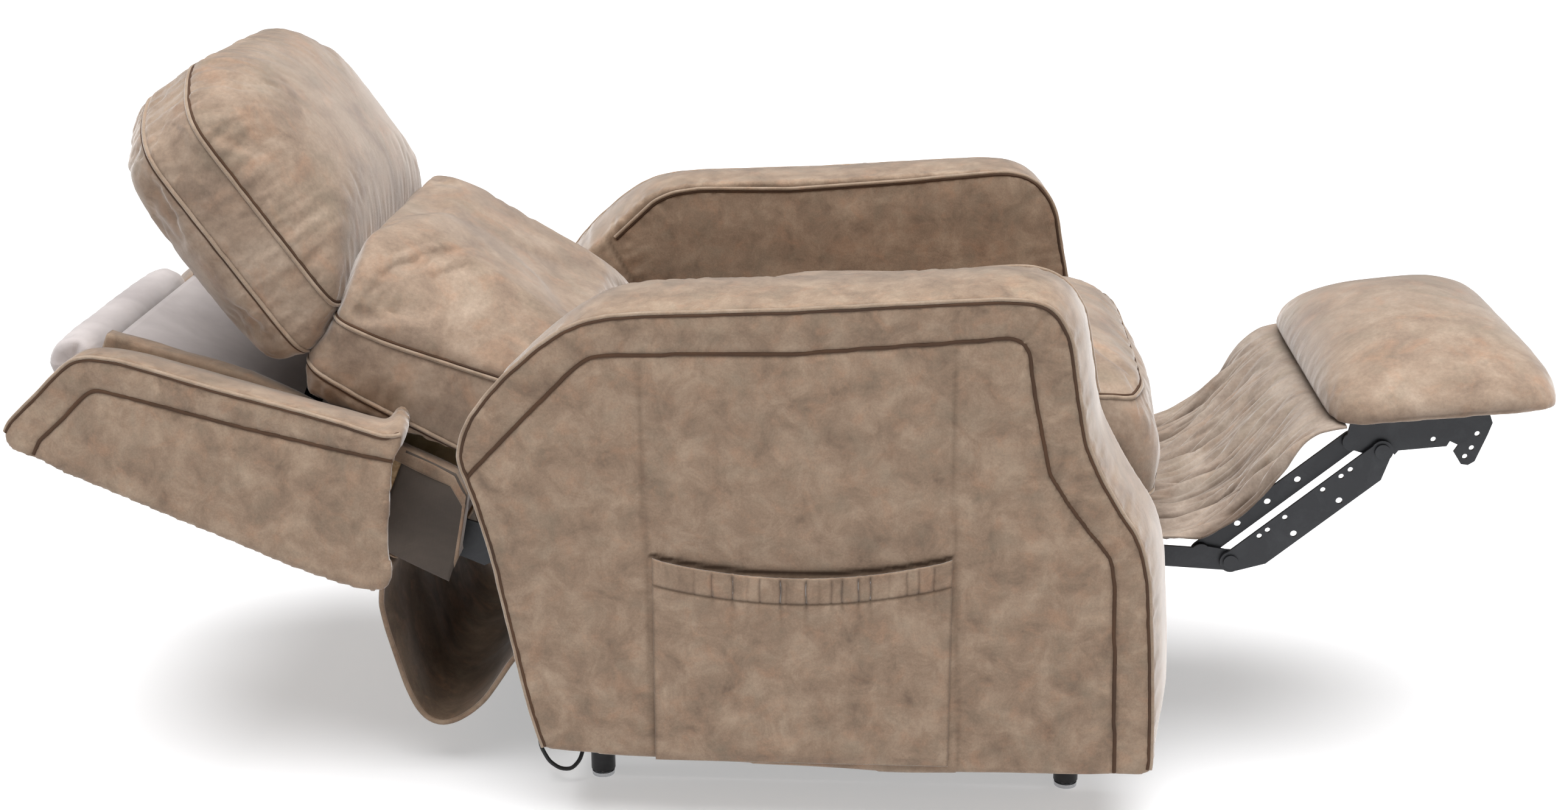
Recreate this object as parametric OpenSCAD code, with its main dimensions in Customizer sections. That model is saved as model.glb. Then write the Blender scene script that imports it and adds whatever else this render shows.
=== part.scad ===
// Lift recliner chair, laid back, with its leg rest out and its head section tipped forward.
// X points to the front of the chair, Y to the sitter's left, Z up. Millimetres and degrees.
// The origin is on the floor, under the middle of the laid-back chair.

/* [Floor frame] */
// Side of the square floor-frame tube
tube = 26; // [22:1:28]
// Height of the underside of the floor frame
frame_clear = 44; // [42:1:48]
// Distance between the outer faces of the two side rails
frame_w = 510; // [490:5:520]
// Diameter of the foot posts
post_d = 30; // [24:1:34]
// Diameter of the silver glides
glide_d = 28; // [24:1:32]
// Height of the silver glides
glide_h = 8; // [6:1:12]
// How far the middle of a foot stands inside its rail's outer face
foot_in = 5; // [2:1:10]

/* [Lift] */
// Thickness of the lift arms
lift_bar_t = 8; // [6:1:8]
// Width of the lift arms
lift_bar_w = 32; // [26:1:34]
// Length of the rear lift arm
rear_arm_l = 330; // [320:1:340]

/* [Arms] */
// Clear width between the arms
seat_gap = 520; // [516:2:560]
// Width of an arm
arm_w = 130; // [110:5:150]
// Height of the arms' lower edge above the floor
arm_clear = 82; // [76:1:88]
// Rise of the padded crown over the arm's edge piping
arm_crown = 12; // [4:1:18]
// Thickness of the arm's frame board
arm_board_t = 30; // [18:1:40]
// Depth of the side pocket
pocket_gap = 8; // [7:1:14]
// Thickness of the pocket cloth
pocket_t = 3; // [2:1:4]

/* [Seat] */
// Height of the seat springs above the floor
spring_z = 364; // [362:1:366]
// Wire of the seat springs
spring_wire = 4; // [3:0.5:5]
// Number of seat springs
spring_n = 5; // [3:1:6]
// Height of the seat cushion's side band
seat_band = 121; // [110:1:130]
// Rise of the seat cushion's crown over its piping
seat_crown = 72; // [40:2:80]
// Gap between a cushion and the arm beside it
cushion_gap = 6; // [3:1:12]

/* [Back] */
// Angle of the laid-back back above the horizontal
back_lean = 22.65; // [20:0.05:26]
// Inward taper of the back, from its foot to its top
back_taper = 8; // [4:0.5:10]
// Thickness of the side boards
side_board_t = 18; // [12:1:22]
// Thickness of a padded wing
wing_t = 102; // [80:2:104]
// Rise of the lumbar cushion's crown over its piping
lumbar_crown = 104; // [60:2:110]
// Radius of the padded top rail
top_rail_r = 32; // [24:1:34]

/* [Head section] */
// Forward tilt of the head section
head_tilt = 32; // [30:1:34]
// Rise of the head cushion's crown over its piping
head_crown = 75; // [50:5:80]
// Arch of the head cushion's top edge
head_arch = 71; // [40:1:80]

/* [Leg rest] */
// Angle of the leg rest above the horizontal
pad_lean = 6.6; // [4:0.1:9]
// Length of the leg-rest pad
pad_l = 272; // [250:2:276]
// Thickness of the leg-rest pad
pad_t = 96; // [80:1:100]
// Width of the leg-rest pad at its rear edge
pad_w = 480; // [440:5:500]
// Extra width of the pad's front edge
pad_flare = 24; // [0:2:40]
// Thickness of the leg-rest link plates
link_t = 4; // [3:0.5:4.5]
// Width of the lower, ribbed links
low_link_w = 40; // [34:1:42]
// Width of the upper links
up_link_w = 24; // [18:1:25]

/* [Hidden] */

fit = 0.3;          // gap between parts that seat on each other
run = 0.05;         // radial clearance of a running pin
$fn = 32;

// Main points of the side view, [x, z], measured from the datum at the arms' front.
recline_pivot = [-560, 392];
lift_a = [-200, 65];                                     // rear lift arm on the floor frame
lift_rest = 172;                                         // rest angle of the rear lift arm
lift_d = lift_a + rear_arm_l * [cos(lift_rest), sin(lift_rest)];
lift_b = [-26, 65];                                      // front lift arm on the floor frame
lift_c = [-210, 120];                                    // front lift arm on the side plates
crank_pivot = [10, 300];
knee = [220, 289];                                       // crank to lower link
ankle = [389, 433];                                      // lower link to pad bracket
link_off = [-35, 9];                                     // from a lower-link pivot to the upper link's
pad_corner = [325, 463];                                 // rear lower corner of the pad
foot_y = frame_w / 2 - foot_in;                          // from the middle plane to a foot
foot_rear_x = -544;
foot_front_x = 31;
head_hinge = [345, 0];                                   // [along the back, off the back]
rear_t = -187;                                           // rear face of the back frame, off the back
cover_t = 6;                                             // rear cover of the back, at its foot
cover_swell = 20;                                        // how much thicker the cover is at its top

// Layers of the mechanism, as distances from the middle plane.
side_plate_y = [203, 207];
lift_bar_y = [202 - lift_bar_t, 202];
lift_ear_y = [lift_bar_y[0] - 8, lift_bar_y[0] - 1];
back_plate_y = [208.5, 212.5];
up_link_y = [209, 209 + link_t];
crank_y = [215, 215 + link_t];
low_link_y = [221, 221 + link_t];

// The origin is midway between the wing's tip and the pad's front edge.
wing_tip = [642, -220];
rear_reach = back_pt(wing_tip)[0];
front_reach = pad_pt([pad_l, 0])[0];
datum_x = -(rear_reach + front_reach) / 2;

half_gap = seat_gap / 2;
cushion_y = half_gap - cushion_gap;
frame_top = frame_clear + tube;

// ---------- helpers ----------
function unit(v) = v / norm(v);
function turned(v, a) = [v[0] * cos(a) + v[1] * sin(a), -v[0] * sin(a) + v[1] * cos(a)];
// A point of the back, [along, off], as [x, z].
function back_pt(q) = recline_pivot + q[0] * [-cos(back_lean), sin(back_lean)] + q[1] * [sin(back_lean),
    cos(back_lean)];
// A point of the leg-rest pad, [along, off], as [x, z].
function pad_pt(q) = pad_corner + q[0] * [cos(pad_lean), sin(pad_lean)] + q[1] * [-sin(pad_lean),
    cos(pad_lean)];
function sgn_pow(v, e) = sign(v) * pow(abs(v), e);
function clamp(v, lo, hi) = max(lo, min(hi, v));

// Outline with rounded corners; each point is [x, y, radius].
function rounded(pts, steps = 5) = [for (i = [0 : len(pts) - 1])
    let (n = len(pts), c = [pts[i][0], pts[i][1]], r = pts[i][2],
         p = pts[(i + n - 1) % n], q = pts[(i + 1) % n],
         u = unit([p[0], p[1]] - c), v = unit([q[0], q[1]] - c),
         half = acos(clamp(u * v, -0.9999, 0.9999)) / 2,
         cut = r / tan(half), mid = c + unit(u + v) * r / sin(half),
         a0 = atan2((c + u * cut - mid)[1], (c + u * cut - mid)[0]),
         a1 = atan2((c + v * cut - mid)[1], (c + v * cut - mid)[0]),
         turn = a1 - a0 > 180 ? a1 - a0 - 360 : a1 - a0 < -180 ? a1 - a0 + 360 : a1 - a0)
    for (k = [0 : r > 0 ? steps : 0])
        r > 0 ? mid + r * [cos(a0 + turn * k / steps), sin(a0 + turn * k / steps)] : c];

// Plate in the side view, between two distances from the middle plane.
module plate(y0, y1) { translate([0, y1, 0]) rotate([90, 0, 0]) linear_extrude(y1 - y0) children(); }
// The same plate on both sides of the chair.
module both_plates(layer) {
    for (s = [-1, 1]) plate(min(s * layer[0], s * layer[1]), max(s * layer[0], s * layer[1])) children();
}
module both_sides() { children(); mirror([0, 1, 0]) children(); }
module rod_y(p, r, y0, y1) { translate([p[0], y0, p[1]]) rotate([-90, 0, 0]) cylinder(r = r, h = y1 - y0); }
module both_rods(p, r, layer) { both_sides() rod_y(p, r, layer[0], layer[1]); }
// Straight link outline with round ends, less its two bores.
module link_outline(p, q, w, bore_p, bore_q) {
    a = atan2((q - p)[1], (q - p)[0]);
    difference() {
        polygon([for (end = [0, 1]) for (k = [0 : 14])
            let (t = a + 90 + 180 * end + 180 * k / 14) (end == 0 ? p : q) + w / 2 * [cos(t), sin(t)]]);
        translate(p) circle(r = bore_p);
        translate(q) circle(r = bore_q);
    }
}
module block(x, y, z) { translate([x[0], y[0], z[0]]) cube([x[1] - x[0], y[1] - y[0], z[1] - z[0]]); }
module at_datum() { translate([datum_x, 0, 0]) children(); }
// Frame of the back: X along the back, Y to the right, Z off the back.
module in_back() {
    translate([recline_pivot[0], 0, recline_pivot[1]]) rotate([0, back_lean, 0]) rotate([0, 0, 180])
        children();
}
module in_head() {
    in_back() translate([head_hinge[0], 0, head_hinge[1]]) rotate([0, -head_tilt, 0]) children();
}
module in_pad() { translate([pad_corner[0], 0, pad_corner[1]]) rotate([0, -pad_lean, 0]) children(); }

// Closed skin through rings of equally many points; both ends are closed to their centres.
module loft(rings) {
    n = len(rings[0]);
    m = len(rings);
    ends = [for (r = [rings[0], rings[m - 1]]) [for (k = [0 : 2]) [for (p = r) p[k]] * [for (p = r) 1] / n]];
    points = concat([for (r = rings) for (p = r) p], ends);
    sides = [for (i = [0 : m - 2]) for (j = [0 : n - 1]) for (t = [0, 1])
        let (a = i * n + j, b = i * n + (j + 1) % n)
        t == 0 ? [a, b + n, b] : [a, a + n, b + n]];
    low = [for (j = [0 : n - 1]) [m * n, j, (j + 1) % n]];
    high = [for (j = [0 : n - 1]) [m * n + 1, (m - 1) * n + (j + 1) % n, (m - 1) * n + j]];
    polyhedron(points, concat(sides, low, high));
}
// Rounded box outline seen from above, as a superellipse of half sizes a and b.
function cushion_outline(a, b, n = 40, power = 7) = [for (i = [0 : n - 1])
    let (t = 360 * (i + 0.5) / n) [a * sgn_pow(cos(t), 2 / power), b * sgn_pow(sin(t), 2 / power)]];
// Padded form: the outline shrunk, lifted and leaned forward level by level.
// Each level is [scale, height, lean of the front end, lean of the rear end, tilt towards the front end].
module padded(outline, levels) {
    a = max([for (p = outline) p[0]]);
    loft([for (l = levels) [for (p = outline)
        [p[0] * l[0] + l[2] * (1 + p[0] / a) / 2 + l[3] * (1 - p[0] / a) / 2, p[1] * l[0],
         l[1] + (len(l) > 4 ? l[4] * p[0] / a : 0)]]]);
}
// The crown of a cushion rises as (1 - k^steep)^full, from its piping, where k is 1, to its middle.
function crown_rise(k, steep, full) = pow(1 - pow(k, steep), full);
// Levels of a boxed cushion: a foot, given as [scale, height], its piping and a crown.
function cushion_levels(foot, z1, crown, steep, full, lean_front = 0, lean_rear = 0, tilt = 0) = concat(
    [for (l = foot) [l[0], l[1], 0, 0]], [[1, z1, 0, 0]],
    [for (k = [0.98, 0.93, 0.84, 0.7, 0.5, 0.25]) let (r = crown_rise(k, steep, full))
        [k, z1 + crown * r, lean_front * r * r, lean_rear * r, tilt * r]]);
// Cloth of even thickness along a path of [x, z] points.
function path_normal(p, i) = let (d = unit(p[min(i + 1, len(p) - 1)] - p[max(i - 1, 0)])) [-d[1], d[0]];
module cloth_path(path, t) {
    polygon(concat([for (i = [0 : len(path) - 1]) path[i] + path_normal(path, i) * t / 2],
        [for (i = [len(path) - 1 : -1 : 0]) path[i] - path_normal(path, i) * t / 2]));
}
// Round tube swept along a path of [x, y, z] points.
function cross3(a, b) = [a[1] * b[2] - a[2] * b[1], a[2] * b[0] - a[0] * b[2], a[0] * b[1] - a[1] * b[0]];
module swept_tube(path, r, up, sides = 8) {
    n = len(path);
    loft([for (i = [0 : n - 1])
        let (d = unit(path[min(i + 1, n - 1)] - path[max(i - 1, 0)]), u = unit(cross3(d, up)),
            w = cross3(d, u))
        [for (k = [0 : sides - 1]) path[i] + r * (u * cos(360 * k / sides) + w * sin(360 * k / sides))]]);
}

// ---------- floor frame ----------
module floor_rails() {
    color("#26272a") both_sides()
        block([foot_rear_x - post_d / 2, foot_front_x + post_d / 2], [frame_w / 2 - tube, frame_w / 2],
            [frame_clear, frame_top]);
}
cross_x = [foot_rear_x - post_d / 2, -165, foot_front_x - tube / 2];
module floor_cross_tubes() {
    color("#26272a") {
        for (x = cross_x)
            block([x, x + tube], [-frame_w / 2 + tube, frame_w / 2 - tube], [frame_clear, frame_top]);
        lift_tail_ears();
    }
}
module foot_posts() {
    color("#1b1c1e") both_sides() for (x = [foot_rear_x, foot_front_x]) {
        translate([x, foot_y, glide_h]) cylinder(d = post_d, h = frame_clear - glide_h);
    }
}
module foot_glides() {
    color("#c9ccd0") both_sides() for (x = [foot_rear_x, foot_front_x]) translate([x, foot_y, 0]) {
        cylinder(d = glide_d, h = glide_h * 0.6);
        cylinder(d = glide_d * 0.6, h = glide_h);
    }
}
shaft_r = 10;
lift_pin_r = 8;
module lift_base_ears() {
    color("#26272a") both_plates(lift_ear_y) {
        difference() {
            polygon(rounded([[lift_a[0] - 16, frame_clear, 4], [lift_a[0] - 16, lift_a[1] + 16, 14],
                [lift_a[0] + 16, lift_a[1] + 16, 14], [cross_x[1], frame_top, 0],
                    [cross_x[1], frame_clear, 0]]));
            translate(lift_a) circle(r = shaft_r + run);
        }
        difference() {
            polygon(rounded([[lift_b[0] - 16, frame_clear, 4], [lift_b[0] - 16, lift_b[1] + 16, 14],
                [lift_b[0] + 14, lift_b[1] + 16, 12], [cross_x[2], frame_top, 0],
                    [cross_x[2], frame_clear, 0]]));
            translate(lift_b) circle(r = lift_pin_r + run);
        }
    }
    color("#8d8f93") both_rods(lift_b, lift_pin_r, [lift_ear_y[0] - 3, lift_bar_y[1] + 0.8]);
}
power_y = [lift_bar_y[0] - 124, lift_bar_y[0] - 4];      // inside the left lift arm
module power_unit() {
    color("#1f2023") {
        block([cross_x[0] + 1, cross_x[0] + 68], power_y, [frame_top + fit, frame_top + 46]);
        for (y = [power_y[0] + 20, power_y[0] + 52, power_y[0] + 84])
            block([cross_x[0] + 68, cross_x[0] + 78], [y, y + 18], [frame_top + 14, frame_top + 32]);
    }
}

// ---------- lift arms ----------
lift_lever = lift_a + 62 * [cos(130), sin(130)];
module rear_lift_arms() {
    color("#2b2c2f") both_plates(lift_bar_y)
        link_outline(lift_a, lift_d, lift_bar_w, shaft_r, lift_pin_r + run);
}
module lift_shaft() {
    color("#2b2c2f") {
        rod_y(lift_a, shaft_r, -lift_bar_y[1], lift_bar_y[1]);
        both_plates([12, 18]) link_outline(lift_a, lift_lever, 32, 0, 0);
    }
    color("#8d8f93") rod_y(lift_lever, 6, -20, 20);
}
front_arm_slack = 7.2;                                   // room for the open upper pivot
module front_lift_arms() {
    color("#2b2c2f") both_plates(lift_bar_y) difference() {
        union() {
            link_outline(lift_b, lift_c, lift_bar_w - 4, lift_pin_r + run, 1);
            translate(lift_c) circle(r = lift_pin_r + front_arm_slack + 6);
        }
        translate(lift_c) circle(r = lift_pin_r + front_arm_slack);
    }
}

// ---------- linear motors ----------
// Motor body along X from its tail pin; the free length to the rod's eye is l.
module motor_body(l, side) {
    difference() {
        union() {
            rotate([90, 0, 0]) translate([0, 0, -8]) cylinder(r = 13, h = 16);
            block([0, 26], [-7, 7], [-11, 11]);
            block([24, 74], [-22, 22], [-24, 24]);
            block([31, 68], [-17, 17], side > 0 ? [20, 50] : [-50, -20]);
            translate([34, 0, side * 42]) rotate([0, 90, 0]) cylinder(r = 21, h = 114);
            translate([70, 0, 0]) rotate([0, 90, 0]) cylinder(r = 15, h = l - 175);
        }
        rotate([90, 0, 0]) translate([0, 0, -30]) cylinder(r = 6 + run, h = 60);
        translate([80, 0, 0]) rotate([0, 90, 0]) cylinder(r = 9.5, h = l);
    }
}
// Rod with an eye at l; the eye's hole leaves the open pivot its room.
module motor_rod(l, start, pin_r, slack) {
    eye = pin_r + slack;
    difference() {
        union() {
            translate([start, 0, 0]) rotate([0, 90, 0]) cylinder(r = 9, h = l - start - eye - 2);
            translate([l, 0, 0]) rotate([90, 0, 0]) translate([0, 0, -7]) cylinder(r = eye + 4, h = 14);
        }
        translate([l, 0, 0]) rotate([90, 0, 0]) translate([0, 0, -20]) cylinder(r = eye, h = 40);
    }
}
module along(e, f, y) {
    translate([e[0], y, e[1]]) rotate([0, -atan2((f - e)[1], (f - e)[0]), 0]) children();
}
lift_tail = [-540, 96];
back_tail = [-240, 290];
back_eye = [-556, 322];
leg_tail = [-240, 300];
leg_eye = [43, 269];
back_motor_y = 75;
leg_motor_y = -75;
lift_slack = 7.5;
back_slack = 6;
leg_slack = 10.5;
module lift_motor() {
    color("#303236") along(lift_tail, lift_lever, 0) motor_body(norm(lift_lever - lift_tail), 1);
}
module lift_rod() {
    color("#b9bcc1") along(lift_tail, lift_lever, 0)
        motor_rod(norm(lift_lever - lift_tail), 85, 6, lift_slack);
}
module back_motor() {
    color("#303236") along(back_tail, back_eye, back_motor_y) motor_body(norm(back_eye - back_tail), 1);
}
module back_rod() {
    color("#b9bcc1") along(back_tail, back_eye, back_motor_y)
        motor_rod(norm(back_eye - back_tail), 100, 6, back_slack);
}
module leg_motor() {
    color("#303236") along(leg_tail, leg_eye, leg_motor_y) motor_body(norm(leg_eye - leg_tail), -1);
}
module leg_rod() {
    color("#b9bcc1") along(leg_tail, leg_eye, leg_motor_y)
        motor_rod(norm(leg_eye - leg_tail), 155, 6, leg_slack);
}

// ---------- seat mechanism on the chair body ----------
plate_top = spring_z - 34;
module mechanism_side_plates() {
    color("#2b2c2f") both_plates(side_plate_y) difference() {
        polygon(rounded([[lift_d[0] - 20, lift_d[1] - 20, 12], [recline_pivot[0] - 11, 150, 8],
            [recline_pivot[0] - 20, recline_pivot[1] + 18, 16],
                [recline_pivot[0] + 20, recline_pivot[1] + 18, 16],
            [recline_pivot[0] + 34, plate_top, 10], [crank_pivot[0] + 14, plate_top, 12],
            [crank_pivot[0] + 16, crank_pivot[1] - 16, 12], [lift_c[0] + 90, 170, 30],
            [lift_c[0] + 20, lift_c[1] - 20, 12], [lift_c[0] - 20, lift_c[1] - 20, 12]]));
        translate(recline_pivot) circle(r = 8);
        translate(crank_pivot) circle(r = shaft_r + run);
        translate(lift_d) circle(r = lift_pin_r);
        translate(lift_c) circle(r = lift_pin_r);
    }
}
mid_tube = [-252, 246];
rear_tube = [-480, 230];
module mechanism_cross_tubes() {
    color("#2b2c2f") {
        for (p = [mid_tube, rear_tube])
            block([p[0], p[0] + 25], [-side_plate_y[0], side_plate_y[0]], [p[1], p[1] + 25]);
        for (m = [[back_tail, back_motor_y], [leg_tail, leg_motor_y]]) {
            for (s = [-1, 1]) plate(m[1] + s * 11 - 2, m[1] + s * 11 + 2)
                polygon(rounded([[m[0][0] - 11, mid_tube[1] + 25, 0], [m[0][0] + 11, mid_tube[1] + 25, 0],
                    [m[0][0] + 11, m[0][1] + 11, 10], [m[0][0] - 11, m[0][1] + 11, 10]]));
            rod_y(m[0], 6, m[1] - 15, m[1] + 15);
        }
    }
}
module lift_tail_ears() {
    for (s = [-1, 1]) plate(s * 11 - 2, s * 11 + 2)
        polygon(rounded([[cross_x[0] + 3, frame_top, 0], [cross_x[0] + tube, frame_top, 0],
            [lift_tail[0] + 11, lift_tail[1] + 11, 10], [lift_tail[0] - 11, lift_tail[1] + 11, 10]]));
    rod_y(lift_tail, 6, -15, 15);
}
module pivot_pins() {
    color("#8d8f93") {
        both_rods(recline_pivot, 8, [side_plate_y[0] - 2, back_plate_y[1] + 1]);
        both_rods(recline_pivot, 12, [back_plate_y[1] + 0.5, back_plate_y[1] + 4]);
        for (p = [lift_d, lift_c]) both_rods(p, lift_pin_r, [lift_bar_y[0] - 1, side_plate_y[1] + 0.6]);
        for (p = [lift_d]) both_rods(p, 12, [side_plate_y[1] + 0.4, side_plate_y[1] + 3]);
    }
}
rail_x = [[-40, 0], [-500, -465]];
rail_top = spring_z - spring_wire / 2;
rear_rail_h = 19;                                        // low enough for the back motor's rod to pass under
module front_rail() {
    color("#c9a878") block(rail_x[0], [-half_gap + fit, half_gap - fit], [plate_top + fit, rail_top]);
}
module rear_seat_rail() {
    color("#c9a878") block(rail_x[1], [-half_gap + fit, half_gap - fit], [rail_top - rear_rail_h, rail_top]);
}
rear_rail_x = [-598, -574];
rear_rail_z = [140, 200];
module rear_rail() { color("#c9a878") block(rear_rail_x, [-half_gap + fit, half_gap - fit], rear_rail_z); }

// Zigzag springs between the two seat rails.
spring_waves = 6;
spring_swing = 22;
module seat_springs() {
    span = [rail_x[1][0] + 10, rail_x[0][1] - 10];
    pitch = 2 * (cushion_y - 40) / max(1, spring_n - 1);
    steps = spring_waves * 8;
    color("#6d7075") for (i = [0 : spring_n - 1]) {
        y0 = spring_n > 1 ? -cushion_y + 40 + i * pitch : 0;
        swept_tube([for (k = [0 : steps]) [span[0] + (span[1] - span[0]) * k / steps,
            y0 + spring_swing * sin(360 * spring_waves * k / steps), spring_z]], spring_wire / 2, [0, 0, 1],
                6);
    }
}
seat_z = spring_z + spring_wire / 2 + fit;
seat_front_x = 152;
seat_bow = 24;                                           // how far the front draws back at its corners
seat_rear_x = -490;                                      // foot of the cushion, under the back
seat_back_x = -404;                                      // its top, clear of the risen lumbar cushion
seat_piping_z = seat_z + seat_band;
// Side view of the cushion, level by level: [height, rear, front, width scale].
seat_levels = concat(
    [[seat_z, seat_rear_x + 150, seat_front_x - 150, 0.5],
        [seat_z + 1, seat_rear_x + 6, seat_front_x - 20, 0.95],
     [seat_z + 16, seat_rear_x, seat_front_x, 1], [seat_z + 40, seat_rear_x + 8, seat_front_x - 2, 0.99],
     [seat_z + 56, seat_rear_x + 38, seat_front_x - 4, 0.985],
         [seat_z + 74, seat_back_x - 20, seat_front_x - 8, 0.985],
     [seat_piping_z - 14, seat_back_x - 4, seat_front_x - 18, 0.99],
         [seat_piping_z, seat_back_x, seat_front_x - 28, 1]],
    [for (k = [[0.99, 6, 28], [0.95, 16, 36], [0.88, 36, 60], [0.74, 90, 120], [0.5, 180, 200],
        [0.22, 250, 255]])
        [seat_piping_z + seat_crown * crown_rise(k[0], 4, 0.6), seat_back_x + k[1], seat_front_x - k[2],
            k[0]]]);
module seat_cushion() {
    unit_ring = cushion_outline(1, 1, 44, 9);
    color("#9c8a77") loft([for (l = seat_levels) [for (p = unit_ring)
        [l[1] + (l[2] - seat_bow * p[1] * p[1] - l[1]) * (p[0] + 1) / 2, p[1] * cushion_y * l[3], l[0]]]]);
}

// ---------- arms ----------
// Side view of an arm, [x, z, corner radius].
arm_points = [[-601, arm_clear, 6], [-687, 462, 26], [-545, 626, 60], [-470, 634, 200], [-60, 658, 40],
    [-2, 652, 34],
    [38, 465, 60], [104, 352, 90], [123, arm_clear, 6]];
arm_outline = rounded(arm_points, 4);
function arm_lift(p, g) = [p[0], p[1] + arm_crown * g * clamp((p[1] - 350) / 250, 0, 1)];
module arm_cover() {
    mid = half_gap + arm_w / 2;
    stations = [-1, -0.93, -0.75, -0.4, 0, 0.4, 0.75, 0.93, 1];
    difference() {
        loft([for (s = stations) let (g = sqrt(1 - s * s))
            [for (p = arm_outline) let (q = arm_lift(p, g)) [q[0], mid + s * arm_w / 2, q[1]]]]);
        plate(mid - arm_board_t / 2 - fit, mid + arm_board_t / 2 + fit) arm_board_outline(fit);
    }
}
module arm_board_outline(grow) {
    polygon([[-568 - grow, arm_clear - (grow > 0 ? 5 : 0)], [-640 - grow, 440], [-530, 585 + grow],
        [-70, 612 + grow],
        [-30 + grow, 590], [5 + grow, 450], [70 + grow, 340], [86 + grow, arm_clear - (grow > 0 ? 5 : 0)]]);
}
module arm_board() {
    mid = half_gap + arm_w / 2;
    color("#c9a878") plate(mid - arm_board_t / 2, mid + arm_board_t / 2) arm_board_outline(0);
}
module right_arm_board() { mirror([0, 1, 0]) arm_board(); }
module left_arm_board() { arm_board(); }
module right_arm_cover() { color("#9c8a77") mirror([0, 1, 0]) arm_cover(); }
module left_arm_cover() { color("#9c8a77") arm_cover(); }
pocket_x = [-462, -118];
pocket_z = [arm_clear + 5, 348];
pocket_sag = 20;
pocket_seam = 9;
module side_pockets() {
    face = half_gap + arm_w;
    sag = [for (i = [0 : 12]) let (k = i / 12) [pocket_x[0] + (pocket_x[1] - pocket_x[0]) * k,
        pocket_z[1] - pocket_sag * sin(180 * k)]];
    color("#937f6b") both_sides() difference() {
        plate(face + fit, face + pocket_gap + pocket_t)
            polygon(concat([[pocket_x[1], pocket_z[0]], [pocket_x[0], pocket_z[0]]], sag));
        block([pocket_x[0] + pocket_seam, pocket_x[1] - pocket_seam], [face - 1, face + pocket_gap],
            [pocket_z[0] + pocket_seam, pocket_z[1] + 10]);
    }
}

// ---------- motor lead under the rear corner ----------
lead_r = 2.5;
clip_z = rear_rail_z[0] - fit - 8;                       // underside of the lead's clip
lead_points = [[-606, -246, clip_z], [-606, -246, 120], [-612, -252, 104], [-618, -262, 86],
    [-621, -271, 66], [-617, -277, 46],
    [-607, -279, 28], [-594, -279, 18.5], [-580, -277, 17], [-570, -271, 27], [-566, -263, 42],
        [-565, -256, 58],
    [-565, -250, 78], [-565, -246, 100], [-565, -246, 118], [-565, -246, clip_z]];
module motor_lead() { color("#141416") swept_tube(lead_points, lead_r, [0, 1, 0.3], 8); }
module lead_clips() {
    color("#1b1c1e") block([lead_points[0][0] - 7, lead_points[len(lead_points) - 1][0] + 7], [-253, -239],
        [clip_z, clip_z + 8]);
}

// ---------- cloth across the joints ----------
cloth_t = 4;
flap_lap = cover_t + 2 * fit + cloth_t / 2;  // from the back frame's rear face to the middle of the cloth
flap_path = concat([back_pt([192, rear_t - flap_lap]), back_pt([172, rear_t - flap_lap])],
    [[-810, 250], [-813, 222], [-807, 190], [-797, 152], [-787, 115], [-776, 87], [-763, 70], [-746, 63],
    [-727, 68], [-707, 81], [-689, 98], [-672, 123], [-656, 148], [-640, 168], [-621, 178]],
    [[rear_rail_x[0] - 7, 179], [rear_rail_x[0] - fit - cloth_t / 2, 172],
        [rear_rail_x[0] - fit - cloth_t / 2, 158]]);
module rear_flap() { color("#8a7561") plate(-half_gap + 8, half_gap - 8) cloth_path(flap_path, cloth_t); }
gusset_t = 3;
gusset_from = [rail_x[0][1] + fit + gusset_t / 2, rail_top - 6];
gusset_to = pad_pt([4, -3]);
// How far the cloth hangs below the line between its two ends, at shares of that line.
gusset_sag = [[0.006, 13], [0.055, 27], [0.08, 31], [0.18, 50], [0.30, 66], [0.41, 78], [0.485, 84.5],
    [0.53, 84.5], [0.585, 81], [0.645, 73], [0.715, 60], [0.785, 42], [0.85, 22], [0.91, 6], [0.955, 0]];
gusset_path = concat([gusset_from],
    [for (g = gusset_sag) gusset_from + g[0] * (gusset_to - gusset_from) - [0, g[1]]],
    [gusset_to, pad_pt([20, -fit - gusset_t / 2])]);
module calf_gusset() {
    color("#8a7866") plate(-pad_w / 2 + 12, pad_w / 2 - 12) cloth_path(gusset_path, gusset_t);
}

// ---------- back ----------
back_foot = 103;                                         // lower end of the side boards
back_end = 598;                                          // upper end of the side boards
board_y = half_gap - 1.7;                                // outer face of the side boards at their foot
lining_t = -104;
function taper_in(s) = tan(back_taper) * (s - back_foot);
module tapered(s0, s1, y0, y1) {
    // Board between two distances from the middle plane, on both sides, following the back's taper.
    both_sides() polygon([[s0, y0 - taper_in(s0)], [s0, y1 - taper_in(s0)], [s1, y1 - taper_in(s1)],
        [s1, y0 - taper_in(s1)]]);
}
module spanning(s0, s1, y) {
    polygon([[s0, -y + taper_in(s0)], [s0, y - taper_in(s0)], [s1, y - taper_in(s1)],
        [s1, -y + taper_in(s1)]]);
}
module back_slab(t0, t1) { translate([0, 0, t0]) linear_extrude(t1 - t0) children(); }
board_in = board_y - side_board_t;
module back_side_boards() {
    color("#c9a878") in_back() difference() {
        back_slab(rear_t, -58) tapered(back_foot, back_end, board_in, board_y);
        for (cut = [[[90, -160], [104, -150], [119, -76], [142, -57], [90, -50]],
            [[420, -57], [610, -90], [610, -50], [420, -50]]])
            translate([0, 300, 0]) rotate([90, 0, 0]) linear_extrude(600) polygon(cut);
    }
}
steel_s = [112, 137];
steel_t = [-160, -135];
rail_s = [[160, 196], [330, 362], [back_end - 34, back_end]];
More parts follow.
